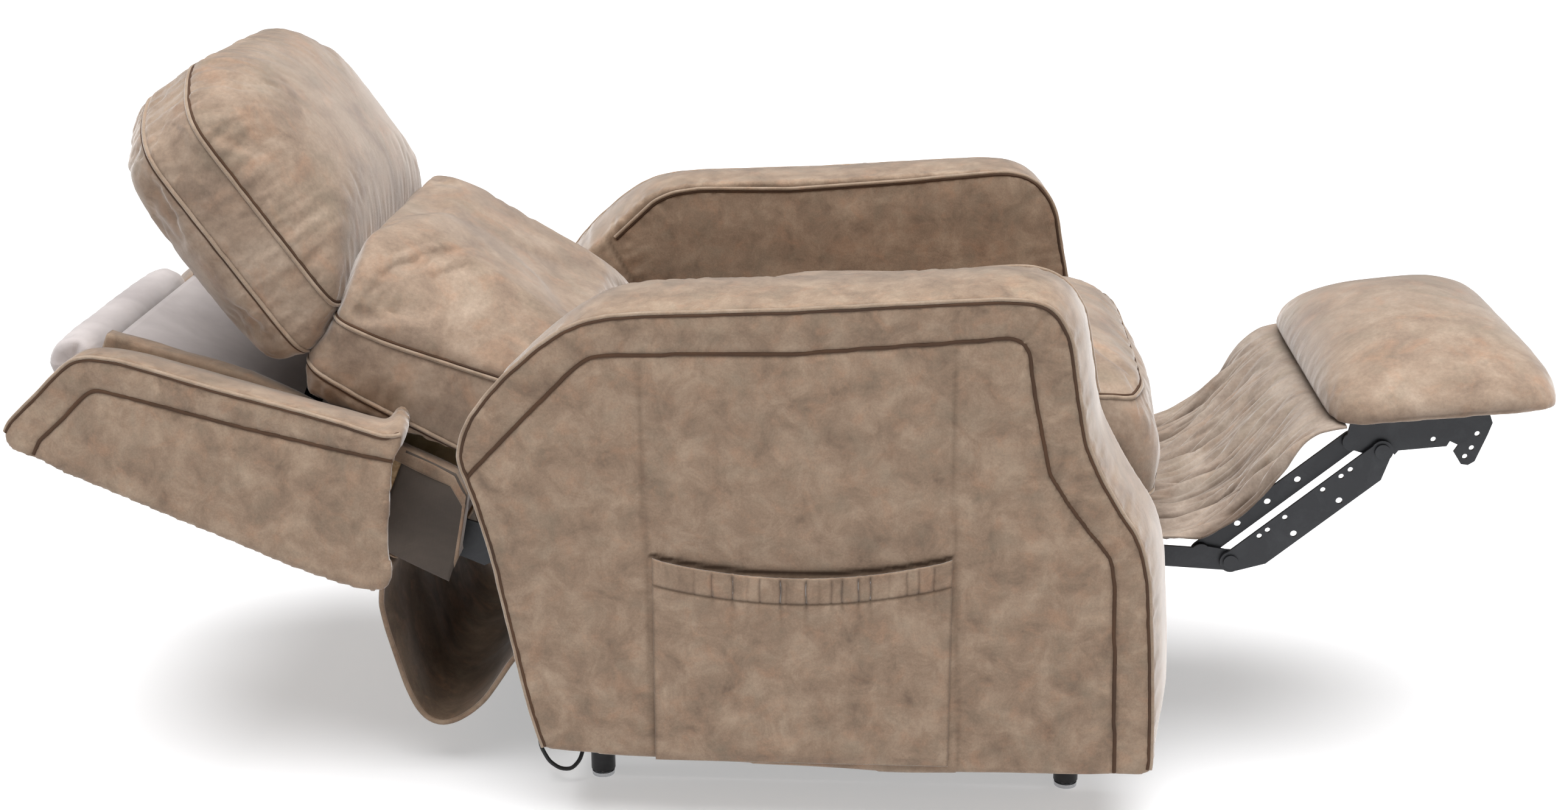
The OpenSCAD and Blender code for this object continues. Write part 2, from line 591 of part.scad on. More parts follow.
module back_cross_rails() {
    color("#c9a878") in_back() for (r = rail_s) back_slab(rear_t, -136) spanning(r[0], r[1], board_in - fit);
    color("#2b2c2f") in_back() back_slab(steel_t[0], steel_t[1])
        spanning(steel_s[0], steel_s[1], board_in - fit);
}
// Plate in the back's side view, on both sides.
module back_plates(y0, y1) {
    both_sides() translate([0, y1, 0]) rotate([90, 0, 0]) linear_extrude(y1 - y0) children();
}
module back_brackets() {
    color("#1b1c1e") in_back() back_plates(back_plate_y[0], back_plate_y[1]) difference() {
        union() {
            circle(r = 18);
            polygon([[-17, -6], [6, -100], [70, -172], [150, -172], [150, -128], [92, -122], [34, -84],
                [17, 6]]);
        }
        circle(r = 8 + run);
        translate([steel_s[0] - 0.1, steel_t[0] - 0.1])
            square([steel_s[1] - steel_s[0] + 0.2, steel_t[1] - steel_t[0] + 0.2]);
    }
}
function back_local(p) = let (d = p - recline_pivot)
    [-d[0] * cos(back_lean) + d[1] * sin(back_lean), d[0] * sin(back_lean) + d[1] * cos(back_lean)];
module back_lever() {
    eye = back_local(back_eye);
    color("#1b1c1e") in_back() for (s = [-1, 1]) {
        y = -back_motor_y + s * 12;
        translate([0, y + 2, 0]) rotate([90, 0, 0]) linear_extrude(4)
            polygon(rounded([[eye[0] - 11, eye[1] + 11, 10], [eye[0] - 14, eye[1] - 20, 0], [60, -165, 10],
                [steel_s[0] - 0.1, -165, 0],
                [steel_s[0] - 0.1, -130, 0], [74, -118, 0], [eye[0] + 12, eye[1] + 11, 10]]));
    }
    color("#8d8f93") rod_y(back_eye, 6, back_motor_y - 16, back_motor_y + 16);
}
module back_webbing() {
    color("#4d4640") in_back() for (s = [215, 262, 400, 450, 500])
        back_slab(-134, -132) spanning(s, s + 40, board_in - fit);
}
module back_lining() {
    color("#a9a3a8") in_back() difference() {
        back_slab(lining_t - 3, lining_t) spanning(back_foot + 8, back_end + 2, board_in - fit);
        for (s = [-1, 1]) translate([head_hinge[0] - 16, s * head_plate_y[0] - 6, -120]) cube([32, 12, 40]);
    }
}
module back_cover() {
    color("#937f6b") in_back() intersection() {
        back_slab(rear_t - fit - cover_t - cover_swell, rear_t - fit) spanning(168, wing_tip[0] - 6, board_y);
        rotate([90, 0, 0]) linear_extrude(2 * seat_gap, center = true)
            polygon([[160, rear_t], [wing_tip[0], rear_t],
                [wing_tip[0], rear_t - fit - cover_t - cover_swell],
                [205, rear_t - fit - cover_t], [160, rear_t - fit - cover_t]]);
    }
}
// Side view of a wing in the back's frame, [along, off, corner radius].
wing_points = [[166, rear_t - cover_t, 0], [176, -130, 0], [192, -64, 0], [199, -2, 12], [283, -15, 0],
    [462, -46, 0],
    [552, -60, 30], [590, -84, 24], [wing_tip[0], wing_tip[1] + 4, 10],
        [wing_tip[0] - 16, wing_tip[1] - 6, 0],
    [405, -212, 0], [262, -201, 0], [205, rear_t - cover_t, 0]];
wing_turn_s = 190;                                       // where the wing's width is measured
module wing() {
    in_back() translate([wing_turn_s, -board_y + taper_in(wing_turn_s) - 2 * fit, 0])
        rotate([0, 0, back_taper])
        translate([-wing_turn_s, 0, 0]) rotate([90, 0, 0]) linear_extrude(wing_t)
            polygon(rounded(wing_points, 4));
}
module left_wing() { color("#9c8a77") wing(); }
module right_wing() { color("#9c8a77") mirror([0, 1, 0]) wing(); }
module top_rail_pad() {
    y = board_in - taper_in(back_end) + side_board_t - 6;
    color("#a9a3a8") in_back() translate([back_end + top_rail_r + fit, y, -142]) rotate([90, 0, 0])
        cylinder(r = top_rail_r, h = 2 * y);
}
module side_dust_cloths() {
    color("#4b4641") in_back() both_sides() difference() {
        back_slab(rear_t + 1, -59)
            polygon([[back_foot + 1, board_y + fit], [back_foot + 1, board_y + fit + 1.2],
            [165, board_y + fit + 1.2 - taper_in(165)], [165, board_y + fit - taper_in(165)]]);
        translate([0, 300, 0]) rotate([90, 0, 0]) linear_extrude(600)
            polygon([[90, -150], [105, -148], [120, -76], [143, -58], [90, -50]]);
    }
}
lumbar_s = [22, 317];
lumbar_t = [-30, 64];
lumbar_tilt = 14;                                        // its crown is higher towards the head
module lumbar_foam() {
    color("#cbb98a") in_back() back_slab(lining_t + fit, lumbar_t[0] - fit)
        translate([lumbar_s[0] + 86, -185]) square([lumbar_s[1] - lumbar_s[0] - 104, 370]);
}
module lumbar_cushion() {
    a = (lumbar_s[1] - lumbar_s[0]) / 2;
    foot = [[0.4, lumbar_t[0]], [0.88, lumbar_t[0] + 1], [0.92, lumbar_t[0] + 15], [0.98, lumbar_t[0] + 34]];
    color("#a3917e") in_back() translate([lumbar_s[0] + a, 0, 0])
        padded(cushion_outline(a, cushion_y - 2, 44),
            cushion_levels(foot, lumbar_t[1], lumbar_crown, 6, 0.45, 60, 0, lumbar_tilt));
}
head_plate_y = [150, 154];
module head_brackets() {
    color("#2b2c2f") in_back() back_plates(head_plate_y[0], head_plate_y[1]) difference() {
        polygon(rounded([[head_hinge[0] - 11, -136, 0], [head_hinge[0] + 11, -136, 0],
            [head_hinge[0] + 13, head_hinge[1] + 13, 12], [head_hinge[0] - 13, head_hinge[1] + 13, 12]]));
        translate(head_hinge) circle(r = 3);
    }
    color("#8d8f93") in_back() both_sides() translate([head_hinge[0], head_plate_y[0] - 2, head_hinge[1]])
        rotate([-90, 0, 0])
        cylinder(r = 5, h = 14);
}
module circle_at(p, r) { translate(p) circle(r = r); }

// ---------- head section ----------
head_a = [12, 313];  // foot and shoulder of the cushion, along the section
head_b = [-12, 65];                                      // its side band
head_rear_bulge = 48;
head_arm_y = [head_plate_y[1] + 1, head_plate_y[1] + 5];
module head_arms() {
    color("#2b2c2f") in_head() back_plates(head_arm_y[0], head_arm_y[1]) difference() {
        union() {
            circle(r = 14);
            translate([0, -9]) square([head_a[0] + 110, 18]);
        }
        circle(r = 5 + run);
    }
}
board_a = [head_a[0] + 20, 285];
module head_board() {
    color("#c9a878") in_head() difference() {
        translate([board_a[0], -200, 12]) cube([board_a[1] - board_a[0], 400, 12]);
    }
}
module head_cushion() {
    mid = (head_a[0] + head_a[1]) / 2;
    a = (head_a[1] - head_a[0]) / 2;
    outline = [for (p = cushion_outline(a, cushion_y - 2, 44))
        [p[0] + (p[0] > 0 ? head_arch * (1 - pow(p[1] / cushion_y, 2)) * p[0] / a : 0), p[1]]];
    foot = [for (k = [0.25, 0.55, 0.78]) [k, head_b[0] - head_rear_bulge * (1 - k * k)]];
    color("#a3917e") in_head() difference() {
        translate([mid, 0, 0])
            padded(outline, cushion_levels(concat(foot, [[1, head_b[0] + 9], [0.985, head_b[1] - 35]]),
                head_b[1], head_crown, 4, 0.6, 0, 40));
        translate([board_a[0] - fit, -200 - fit, 12 - fit])
            cube([board_a[1] - board_a[0] + 2 * fit, 400 + 2 * fit, 12 + 2 * fit]);
        for (s = [-1, 1]) translate([-10, s * 152 - 12, -80]) cube([board_a[0] + 10, 24, 104]);
        for (s = [-1, 1]) translate([-10, s * (head_arm_y[0] + 2) - 2 - fit, -9 - fit])
            cube([head_a[0] + 120 + fit, 4 + 2 * fit, 21]);
    }
}

// ---------- leg rest ----------
module leg_torque_shaft() {
    color("#2b2c2f") {
        rod_y(crank_pivot, shaft_r, -crank_y[1], crank_y[1]);
        both_rods(crank_pivot, 12, [side_plate_y[1] + 1, crank_y[0] - fit]);
        for (s = [-1, 1]) plate(leg_motor_y + s * 12 - 2, leg_motor_y + s * 12 + 2)
            link_outline(crank_pivot, leg_eye, 26, 0, 0);
        rod_y(leg_eye, 6, leg_motor_y - 16, leg_motor_y + 16);
    }
}
rivet_r = 5;
module leg_cranks() {
    up = knee + link_off;
    color("#1b1c1e") both_plates(crank_y) difference() {
        union() {
            link_outline(crank_pivot, knee, 26, shaft_r + run, rivet_r);
            circle_at(up, 11);
            polygon([up + [-9, -6], up + [-9, 8], up + [9, 8], knee + [2, 12], knee + [-4, -12]]);
        }
        circle_at(crank_pivot, shaft_r + run);
        circle_at(knee, rivet_r);
        circle_at(up, rivet_r);
    }
}
module rivet_pair(low, up, core) {
    color("#8d8f93") {
        both_rods(low, rivet_r, [core[0], low_link_y[1] + 1]);
        both_rods(low, 9, [low_link_y[1] + 0.6, low_link_y[1] + 3]);
        both_rods(up, rivet_r, [up_link_y[0] - 1, core[1]]);
    }
}
module crank_rivets() { rivet_pair(knee, knee + link_off, crank_y); }
module ankle_rivets() { rivet_pair(ankle, ankle + link_off, crank_y); }
hole_d = 8;
link_l = norm(ankle - knee);
link_u = (ankle - knee) / link_l;
function on_link(a, d) = knee + a * link_l * link_u + d * [link_u[1], -link_u[0]];
module lower_links() {
    top = -0.3 * low_link_w;
    low = 0.7 * low_link_w;
    color("#1b1c1e") both_plates(low_link_y) difference() {
        union() {
            circle_at(knee, 13);
            circle_at(ankle, 13);
            polygon([on_link(-0.02, top), on_link(1.01, top), on_link(1.05, 4), on_link(1.03, 10),
                on_link(0.9, low),
                on_link(0.14, low), on_link(-0.01, 13)]);
        }
        circle_at(knee, rivet_r + run);
        circle_at(ankle, rivet_r + run);
        for (k = [0.21, 0.265, 0.38, 0.63, 0.75, 0.81]) circle_at(on_link(k, top / 2 + 1), hole_d * 0.4);
        for (k = [0.36, 0.66]) circle_at(on_link(k, low * 0.65), hole_d / 2);
    }
}
module upper_links() {
    color("#1b1c1e") both_plates(up_link_y) difference() {
        link_outline(knee + link_off, ankle + link_off, up_link_w, rivet_r + run, rivet_r + run);
        for (k = [0.25, 0.45, 0.65]) translate(knee + link_off + k * (ankle - knee)) circle(d = hole_d);
    }
}
module pad_brackets() {
    up = ankle + link_off;
    color("#1b1c1e") both_plates(crank_y) difference() {
        union() {
            circle_at(ankle, 13);
            circle_at(up, 11);
            polygon([up + [-8, 7], up + [8, 10], ankle + [6, 12], ankle + [2, -12], ankle + [-10, -8],
                up + [-8, -7]]);
            polygon([up + [-6, 9], pad_pt([26, -fit]), pad_pt([186, -fit]), pad_pt([190, -16]),
                pad_pt([184, -30]),
                pad_pt([168, -62]), pad_pt([160, -66]), pad_pt([152, -64]), pad_pt([144, -48]),
                    pad_pt([150, -40]),
                pad_pt([140, -34]), pad_pt([136, -40]), pad_pt([80, -40]), ankle + [16, -6], ankle + [2, 8]]);
        }
        circle_at(ankle, rivet_r);
        circle_at(up, rivet_r);
        for (q = [[165, -45], [157, -55], [172, -28], [121, -30]]) circle_at(pad_pt(q), hole_d * 0.4);
    }
}
pad_board_t = 12;
pad_board_x = [12, pad_l - 28];
pad_board_y = pad_w / 2 - 14;
pad_board_cut = 40;                                      // its corners are cut back under the rounded pad
module pad_board_outline() {
    polygon([for (c = [[1, 1], [-1, 1], [-1, -1], [1, -1]],
        k = [c[0] * c[1] > 0 ? 0 : 1, c[0] * c[1] > 0 ? 1 : 0])
        [c[0] > 0 ? pad_board_x[1] - k * pad_board_cut : pad_board_x[0] + k * pad_board_cut,
         c[1] * (pad_board_y - (1 - k) * pad_board_cut)]]);
}
module pad_board() { color("#c9a878") in_pad() linear_extrude(pad_board_t) pad_board_outline(); }
// Levels of the pad, [scale, share of its thickness]: a thin rim and a high middle.
pad_levels = [[0.3, 0], [0.9, 0.005], [0.985, 0.06], [1, 0.17], [0.992, 0.3], [0.965, 0.42], [0.9, 0.55],
    [0.78, 0.7], [0.6, 0.84], [0.4, 0.94], [0.2, 1]];
module leg_pad() {
    a = pad_l / 2;
    outline = [for (p = cushion_outline(a, pad_w / 2, 44)) [p[0],
        p[1] * (1 + pad_flare / pad_w * (p[0] / a + 1) / 2)]];
    color("#a3917e") in_pad() difference() {
        translate([a, 0, 0]) padded(outline, [for (l = pad_levels) [l[0], fit + (pad_t - fit) * l[1], 0, 0]]);
        translate([0, 0, -1]) linear_extrude(pad_board_t + 1 + fit) offset(delta = fit) pad_board_outline();
    }
}

// ---------- the chair ----------
at_datum() floor_rails();
at_datum() floor_cross_tubes();
at_datum() foot_posts();
at_datum() foot_glides();
at_datum() lift_base_ears();
at_datum() power_unit();
at_datum() rear_lift_arms();
at_datum() lift_shaft();
at_datum() front_lift_arms();
at_datum() lift_motor();
at_datum() lift_rod();
at_datum() mechanism_side_plates();
at_datum() mechanism_cross_tubes();
at_datum() pivot_pins();
at_datum() front_rail();
at_datum() rear_seat_rail();
at_datum() rear_rail();
at_datum() seat_springs();
at_datum() seat_cushion();
at_datum() right_arm_board();
at_datum() left_arm_board();
at_datum() right_arm_cover();
at_datum() left_arm_cover();
at_datum() side_pockets();
at_datum() lead_clips();
at_datum() motor_lead();
at_datum() rear_flap();
at_datum() calf_gusset();
at_datum() back_side_boards();
at_datum() back_cross_rails();
at_datum() back_brackets();
at_datum() back_lever();
at_datum() back_webbing();
at_datum() back_lining();
at_datum() back_cover();
at_datum() right_wing();
at_datum() left_wing();
at_datum() top_rail_pad();
at_datum() side_dust_cloths();
at_datum() lumbar_foam();
at_datum() lumbar_cushion();
at_datum() head_brackets();
at_datum() head_arms();
at_datum() head_board();
at_datum() head_cushion();
at_datum() back_motor();
at_datum() back_rod();
at_datum() leg_motor();
at_datum() leg_rod();
at_datum() leg_torque_shaft();
at_datum() leg_cranks();
at_datum() crank_rivets();
at_datum() lower_links();
at_datum() upper_links();
at_datum() ankle_rivets();
at_datum() pad_brackets();
at_datum() pad_board();
at_datum() leg_pad();
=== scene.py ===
"""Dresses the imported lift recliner: padded arms, cushions, cloth, cords, steel and light."""

import logging
import math
from dataclasses import dataclass, field
from enum import Enum
from typing import Callable, Optional, Sequence, Union

import bmesh
import bpy
import numpy as np
from mathutils import Matrix, Vector, noise
from mathutils.bvhtree import BVHTree
from mathutils.kdtree import KDTree


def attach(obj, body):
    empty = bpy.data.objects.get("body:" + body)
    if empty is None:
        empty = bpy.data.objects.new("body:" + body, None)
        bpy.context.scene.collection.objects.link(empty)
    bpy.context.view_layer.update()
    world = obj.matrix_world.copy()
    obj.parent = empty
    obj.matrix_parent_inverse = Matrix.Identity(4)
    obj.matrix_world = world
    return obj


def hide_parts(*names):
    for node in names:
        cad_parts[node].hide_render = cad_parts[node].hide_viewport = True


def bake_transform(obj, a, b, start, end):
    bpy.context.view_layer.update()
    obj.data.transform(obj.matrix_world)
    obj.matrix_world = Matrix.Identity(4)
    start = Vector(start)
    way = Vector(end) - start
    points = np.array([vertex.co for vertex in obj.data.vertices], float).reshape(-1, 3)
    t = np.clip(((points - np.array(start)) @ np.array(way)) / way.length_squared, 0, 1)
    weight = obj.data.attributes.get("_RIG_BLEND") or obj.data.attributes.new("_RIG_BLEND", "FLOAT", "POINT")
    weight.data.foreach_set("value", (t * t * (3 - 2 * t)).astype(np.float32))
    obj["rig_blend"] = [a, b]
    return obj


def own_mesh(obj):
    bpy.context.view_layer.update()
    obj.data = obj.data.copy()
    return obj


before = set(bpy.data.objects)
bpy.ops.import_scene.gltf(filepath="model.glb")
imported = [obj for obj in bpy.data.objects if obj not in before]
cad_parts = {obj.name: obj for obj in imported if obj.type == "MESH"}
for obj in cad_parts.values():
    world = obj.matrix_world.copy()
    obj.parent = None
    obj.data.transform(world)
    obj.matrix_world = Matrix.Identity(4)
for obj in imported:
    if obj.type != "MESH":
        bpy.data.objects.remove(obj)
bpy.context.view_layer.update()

LOG = logging.getLogger("recliner")
MM = 0.001
Pair = tuple[float, float]
Path = list[Vector]
Socket = bpy.types.NodeSocket
Level = Union[float, Socket]
Shade = Union[tuple[float, ...], Socket]


# ---------- the chair's frames ----------
@dataclass(frozen=True)
class SideFrame:
    """A tilted frame of the side view: along, across to the sitter's left, and off."""
    origin: Pair
    angle: float
    to_rear: bool = False

    def xz(self, along: float, off: float) -> Pair:
        """Returns the side view's (x, z) in millimetres, before the datum's shift.

        Args:
            along: Place along the frame, in millimetres.
            off: Height off its base line, in millimetres.

        Returns:
            The place in the side view.
        """
        c, s = math.cos(math.radians(self.angle)), math.sin(math.radians(self.angle))
        if self.to_rear:
            return self.origin[0] - along * c + off * s, self.origin[1] + along * s + off * c
        return self.origin[0] + along * c - off * s, self.origin[1] + along * s + off * c

    def at(self, along: float, y: float, off: float) -> Vector:
        """Returns a point in the row frame, in metres."""
        x, z = self.xz(along, off)
        return Vector(((x + DATUM_X) * MM, y * MM, z * MM))


RECLINE_PIVOT: Pair = (-560.0, 392.0)
BACK_LEAN = 22.65
HEAD_TILT = 32.0
HALF_GAP = 260.0
BACK_TAPER = math.tan(math.radians(8.0))
BOARD_Y = HALF_GAP - 1.7
BACK = SideFrame(RECLINE_PIVOT, BACK_LEAN, True)
HEAD = SideFrame(BACK.xz(345.0, 0.0), BACK_LEAN + HEAD_TILT, True)
PAD = SideFrame((325.0, 463.0), 6.6)
DATUM_X = -(BACK.xz(642.0, -220.0)[0] + PAD.xz(272.0, 0.0)[0]) / 2.0
SIDE = SideFrame((0.0, 0.0), 0.0)
SEAT_Z = 366.3


def taper_in(along: float) -> float:
    """Returns how far the back's side has come in, that far up the back."""
    return BACK_TAPER * (along - 103.0)


# ---------- Blender's tools ----------
def only(piece: bpy.types.Object) -> bpy.types.Object:
    """Selects and activates one object alone.

    Args:
        piece: The piece to select.

    Returns:
        The same piece.
    """
    bpy.ops.object.select_all(action="DESELECT")
    piece.select_set(True)
    bpy.context.view_layer.objects.active = piece
    return piece


def applied(piece: bpy.types.Object, kind: str, **settings: object) -> bpy.types.Object:
    """Adds a modifier with its settings and applies it.

    Args:
        piece: The piece that gets the modifier.
        kind: The modifier's type.
        **settings: Its settings, by name.

    Returns:
        The same piece.
    """
    only(piece)
    modifier = piece.modifiers.new(kind.lower(), kind)
    for name, value in settings.items():
        setattr(modifier, name, value)
    bpy.ops.object.modifier_apply(modifier=modifier.name)
    return piece


def mesh_piece(name: str, points: Sequence[Vector], faces: Sequence[Sequence[int]]) -> bpy.types.Object:
    """Makes a mesh object of points and faces, with its normals outwards.

    Args:
        name: The piece's name.
        points: The corners, in metres.
        faces: Corner numbers of each face.

    Returns:
        The new piece, linked to the scene.
    """
    mesh = bpy.data.meshes.new(name)
    mesh.from_pydata([tuple(p) for p in points], [], [tuple(f) for f in faces])
    piece = bpy.data.objects.new(name, mesh)
    bpy.context.scene.collection.objects.link(piece)
    shell = bmesh.new()
    shell.from_mesh(mesh)
    bmesh.ops.remove_doubles(shell, verts=shell.verts, dist=1e-6)
    bmesh.ops.recalc_face_normals(shell, faces=shell.faces)
    shell.to_mesh(mesh)
    shell.free()
    return piece


def ring_solid(name: str, rings: Sequence[Sequence[Vector]]) -> bpy.types.Object:
    """Makes a closed solid through rings of equally many points, fanned shut at both ends.

    Args:
        name: The piece's name.
        rings: The rings, from one end to the other.

    Returns:
        The closed solid.
    """
    count = len(rings[0])
    points = [p for ring in rings for p in ring]
    points += [sum((Vector(p) for p in ring), Vector()) / count for ring in (rings[0], rings[-1])]
    faces: list[tuple[int, ...]] = []
    for i in range(len(rings) - 1):
        for j in range(count):
            a, b, k = i * count + j, i * count + (j + 1) % count, count
            faces.append((a, b, b + k, a + k))
    low, high, last = len(points) - 2, len(points) - 1, (len(rings) - 1) * count
    for j in range(count):
        faces.append((low, (j + 1) % count, j))
        faces.append((high, last + j, last + (j + 1) % count))
    return mesh_piece(name, points, faces)


def sheet_piece(name: str, surface: Callable[[float, float], Vector], nu: int, nv: int,
                thick: float, offset: float = 0.0) -> bpy.types.Object:
    """Makes a cloth sheet from a function of two shares, with a real thickness.

    Args:
        name: the piece's name.
        surface: gives the point for shares u and v from 0 to 1.
        nu: steps along u.
        nv: steps along v.
        thick: the cloth's thickness in metres.
        offset: -1, 0 or 1, the side of the surface that the cloth lies on.

    Returns:
        The sheet's object.
    """
    points = [surface(i / nu, j / nv) for i in range(nu + 1) for j in range(nv + 1)]
    faces = [(i * (nv + 1) + j, (i + 1) * (nv + 1) + j, (i + 1) * (nv + 1) + j + 1, i * (nv + 1) + j + 1)
             for i in range(nu) for j in range(nv)]
    mesh = bpy.data.meshes.new(name)
    mesh.from_pydata([tuple(p) for p in points], [], faces)
    piece = bpy.data.objects.new(name, mesh)
    bpy.context.scene.collection.objects.link(piece)
    applied(piece, "SOLIDIFY", thickness=thick, offset=offset, use_even_offset=False)
    shade_smooth(piece)
    return piece


def shade_smooth(piece: bpy.types.Object) -> None:
    """Shades every face of a piece smooth."""
    piece.data.polygons.foreach_set("use_smooth", [True] * len(piece.data.polygons))
    piece.data.update()


def remeshed(piece: bpy.types.Object, voxel: float, passes: int = 4) -> bpy.types.Object:
    """Gives a closed piece an even mesh and softens its edges.

    Args:
        piece: A closed piece.
        voxel: The new mesh's step, in millimetres.
        passes: How many times it is softened.

    Returns:
        The same piece.
    """
    applied(piece, "REMESH", mode="VOXEL", voxel_size=voxel * MM, use_smooth_shade=True)
    if passes:
        applied(piece, "SMOOTH", factor=0.5, iterations=passes)
    shade_smooth(piece)
    return piece


# ---------- paths ----------
def rounded(corners: Sequence[tuple[float, float, float]], steps: int = 6) -> list[Pair]:
    """Returns a closed outline whose corners, each (x, y, radius), are rounded.

    Args:
        corners: The corners as (x, y, radius).
        steps: Points in each rounded corner.

    Returns:
        The outline's points.
    """
    out: list[Pair] = []
    n = len(corners)
    for i, (x, y, r) in enumerate(corners):
        c = Vector((x, y))
        if r <= 0:
            out.append((x, y))
            continue
        u = (Vector(corners[i - 1][:2]) - c).normalized()
        v = (Vector(corners[(i + 1) % n][:2]) - c).normalized()
        half = math.acos(max(-0.9999, min(0.9999, u.dot(v)))) / 2
        cut, mid = r / math.tan(half), c + (u + v).normalized() * r / math.sin(half)
        a0 = math.atan2(*(c + u * cut - mid).yx)
        turn = (math.atan2(*(c + v * cut - mid).yx) - a0 + math.pi) % (2 * math.pi) - math.pi
        out += [(mid.x + r * math.cos(a0 + turn * k / steps), mid.y + r * math.sin(a0 + turn * k / steps))
                for k in range(steps + 1)]
    return out


def even(points: Sequence[Sequence[float]], step: float, closed: bool = False) -> np.ndarray:
    """Returns a polyline's points laid out again at an even step.

    Args:
        points: The polyline's points.
        step: Distance between the new points.
        closed: Whether the last point joins the first.

    Returns:
        The new points, one row each.
    """
    p = np.array([tuple(q) for q in points], float)
    if closed:
        p = np.vstack([p, p[:1]])
    lengths = np.r_[0, np.cumsum(np.linalg.norm(np.diff(p, axis=0), axis=1))]
    count = max(3, int(round(lengths[-1] / step)))
    at = np.linspace(0, lengths[-1], count + 1)
    out = np.stack([np.interp(at, lengths, p[:, k]) for k in range(p.shape[1])], axis=1)
    return out[:-1] if closed else out


def softened(points: np.ndarray, passes: int, closed: bool = False) -> np.ndarray:
    """Returns a path whose points are drawn towards their neighbours' middle.

    Args:
        points: The path's points, one row each.
        passes: How many times they are drawn together.
        closed: Whether the last point joins the first.

    Returns:
        The softened points.
    """
    p = points.copy()
    for _ in range(passes):
        mean = (np.roll(p, 1, axis=0) + np.roll(p, -1, axis=0)) / 2
        q = (p + mean) / 2
        if not closed:
            q[0], q[-1] = p[0], p[-1]
        p = q
    return p


def cushion_ring(a: float, b: float, count: int = 120, power: float = 7.0) -> list[Pair]:
    """Returns a rounded-box outline of half sizes a and b.

    Args:
        a: Half the length.
        b: Half the width.
        count: Number of points.
        power: How square the corners are.

    Returns:
        The outline's points.
    """
    out = []
    for i in range(count):
        t = 2 * math.pi * (i + 0.5) / count
        c, s = math.cos(t), math.sin(t)
        out.append((a * math.copysign(abs(c) ** (2 / power), c), b * math.copysign(abs(s) ** (2 / power), s)))
    return out


# ---------- seams and their puckers ----------
def point_tree(points: Sequence[Vector]) -> KDTree:
    """Returns a search tree of points.

    Args:
        points: The points, numbered in their order.

    Returns:
        The balanced tree.
    """
    tree = KDTree(len(points))
    for i, p in enumerate(points):
        tree.insert(p, i)
    tree.balance()
    return tree


def mark(piece: bpy.types.Object, name: str, values: Sequence[float]) -> None:
    """Keeps one value for each point of a piece, which its finish reads.

    Args:
        piece: The piece to mark.
        name: The attribute's name.
        values: The values, one for each point.
    """
    kept = piece.data.attributes
    (kept.get(name) or kept.new(name, "FLOAT", "POINT")).data.foreach_set("value", values)


@dataclass
class Seam:
    """A sewn line: its path in the row frame, how the padding answers to it, and how dark the painted shade
    along it is.
    """
    path: Sequence[Vector]
    closed: bool = False
    depth: float = 2.5
    pucker: float = 1.0
    width: float = 5.0
    dark: float = 0.6

    def samples(self) -> np.ndarray:
        """Returns the seam's path at an even 3 mm step, in metres."""
        return even(self.path, 3 * MM, self.closed)


@dataclass
class Padding:
    """How far padding swells between its seams, and how it creases beside them."""
    puff: float = 4.0
    reach: float = 30.0
    crease: float = 1.2
    crease_step: float = 13.0
    crease_reach: float = 28.0
    wave: float = 1.5
    wave_step: float = 130.0
    seed: float = 0.0
    share: Optional[Callable[[Vector, Vector], float]] = None

    def sew(self, piece: bpy.types.Object, seams: Sequence[Seam]) -> bpy.types.Object:
        """Swells the piece, sinks its seams, adds creases, and keeps a seam attribute of painted shade along
        the seams for its finish.

        Args:
            piece: an evenly meshed piece.
            seams: the sewn lines on it.

        Returns:
            The same piece.
        """
        rows, tree_points = [], []
        for seam in seams:
            samples = seam.samples()
            run = np.r_[0, np.cumsum(np.linalg.norm(np.diff(samples, axis=0), axis=1))]
            rows += [(run[i], seam.depth, seam.pucker, seam.width, seam.dark) for i in range(len(samples))]
            tree_points += [Vector(s) for s in samples]
        tree = point_tree(tree_points)
        mesh = piece.data
        moved = np.zeros((len(mesh.vertices), 3))
        marks = np.zeros(len(mesh.vertices), np.float32)
        soft = np.zeros(len(mesh.vertices), np.float32)
        for i, v in enumerate(mesh.vertices):
            _, k, d = tree.find(v.co)
            d /= MM
            run, depth, pucker, width, dark = rows[k]
            share = self.share(v.co, v.normal) if self.share else 1.0
            lift = 1 - math.exp(-(d / self.reach) ** 2)
            out = self.puff * lift * share - depth * math.exp(-(d / width) ** 2)
            near = math.exp(-d / self.crease_reach) * (1 - math.exp(-(d / 7) ** 2)) * pucker
            if near > 0.01:
                fold = noise.noise(Vector((run / (self.crease_step * MM), d / 60 + self.seed, self.seed)))
                fold += 0.5 * noise.noise(Vector((run / (self.crease_step * 0.45 * MM), d / 35,
                                                  self.seed + 9)))
                out += self.crease * near * fold * 1.6
            out += self.wave * lift * noise.noise(v.co / (self.wave_step * MM) + Vector((self.seed, 3.1, 0)))
            moved[i] = np.array(v.co) + np.array(v.normal) * out * MM
            # Painted shade: a dark line along each seam, where the groove's shadow falls, as strong as the
            # seam's dark value.
            marks[i] = dark * math.exp(-(d / 3.2) ** 2)
            soft[i] = math.exp(-d / 22)
        mesh.vertices.foreach_set("co", moved.ravel())
        for name, values in (("seam", marks), ("rub", soft)):
            mark(piece, name, values)
        mesh.update()
        return piece


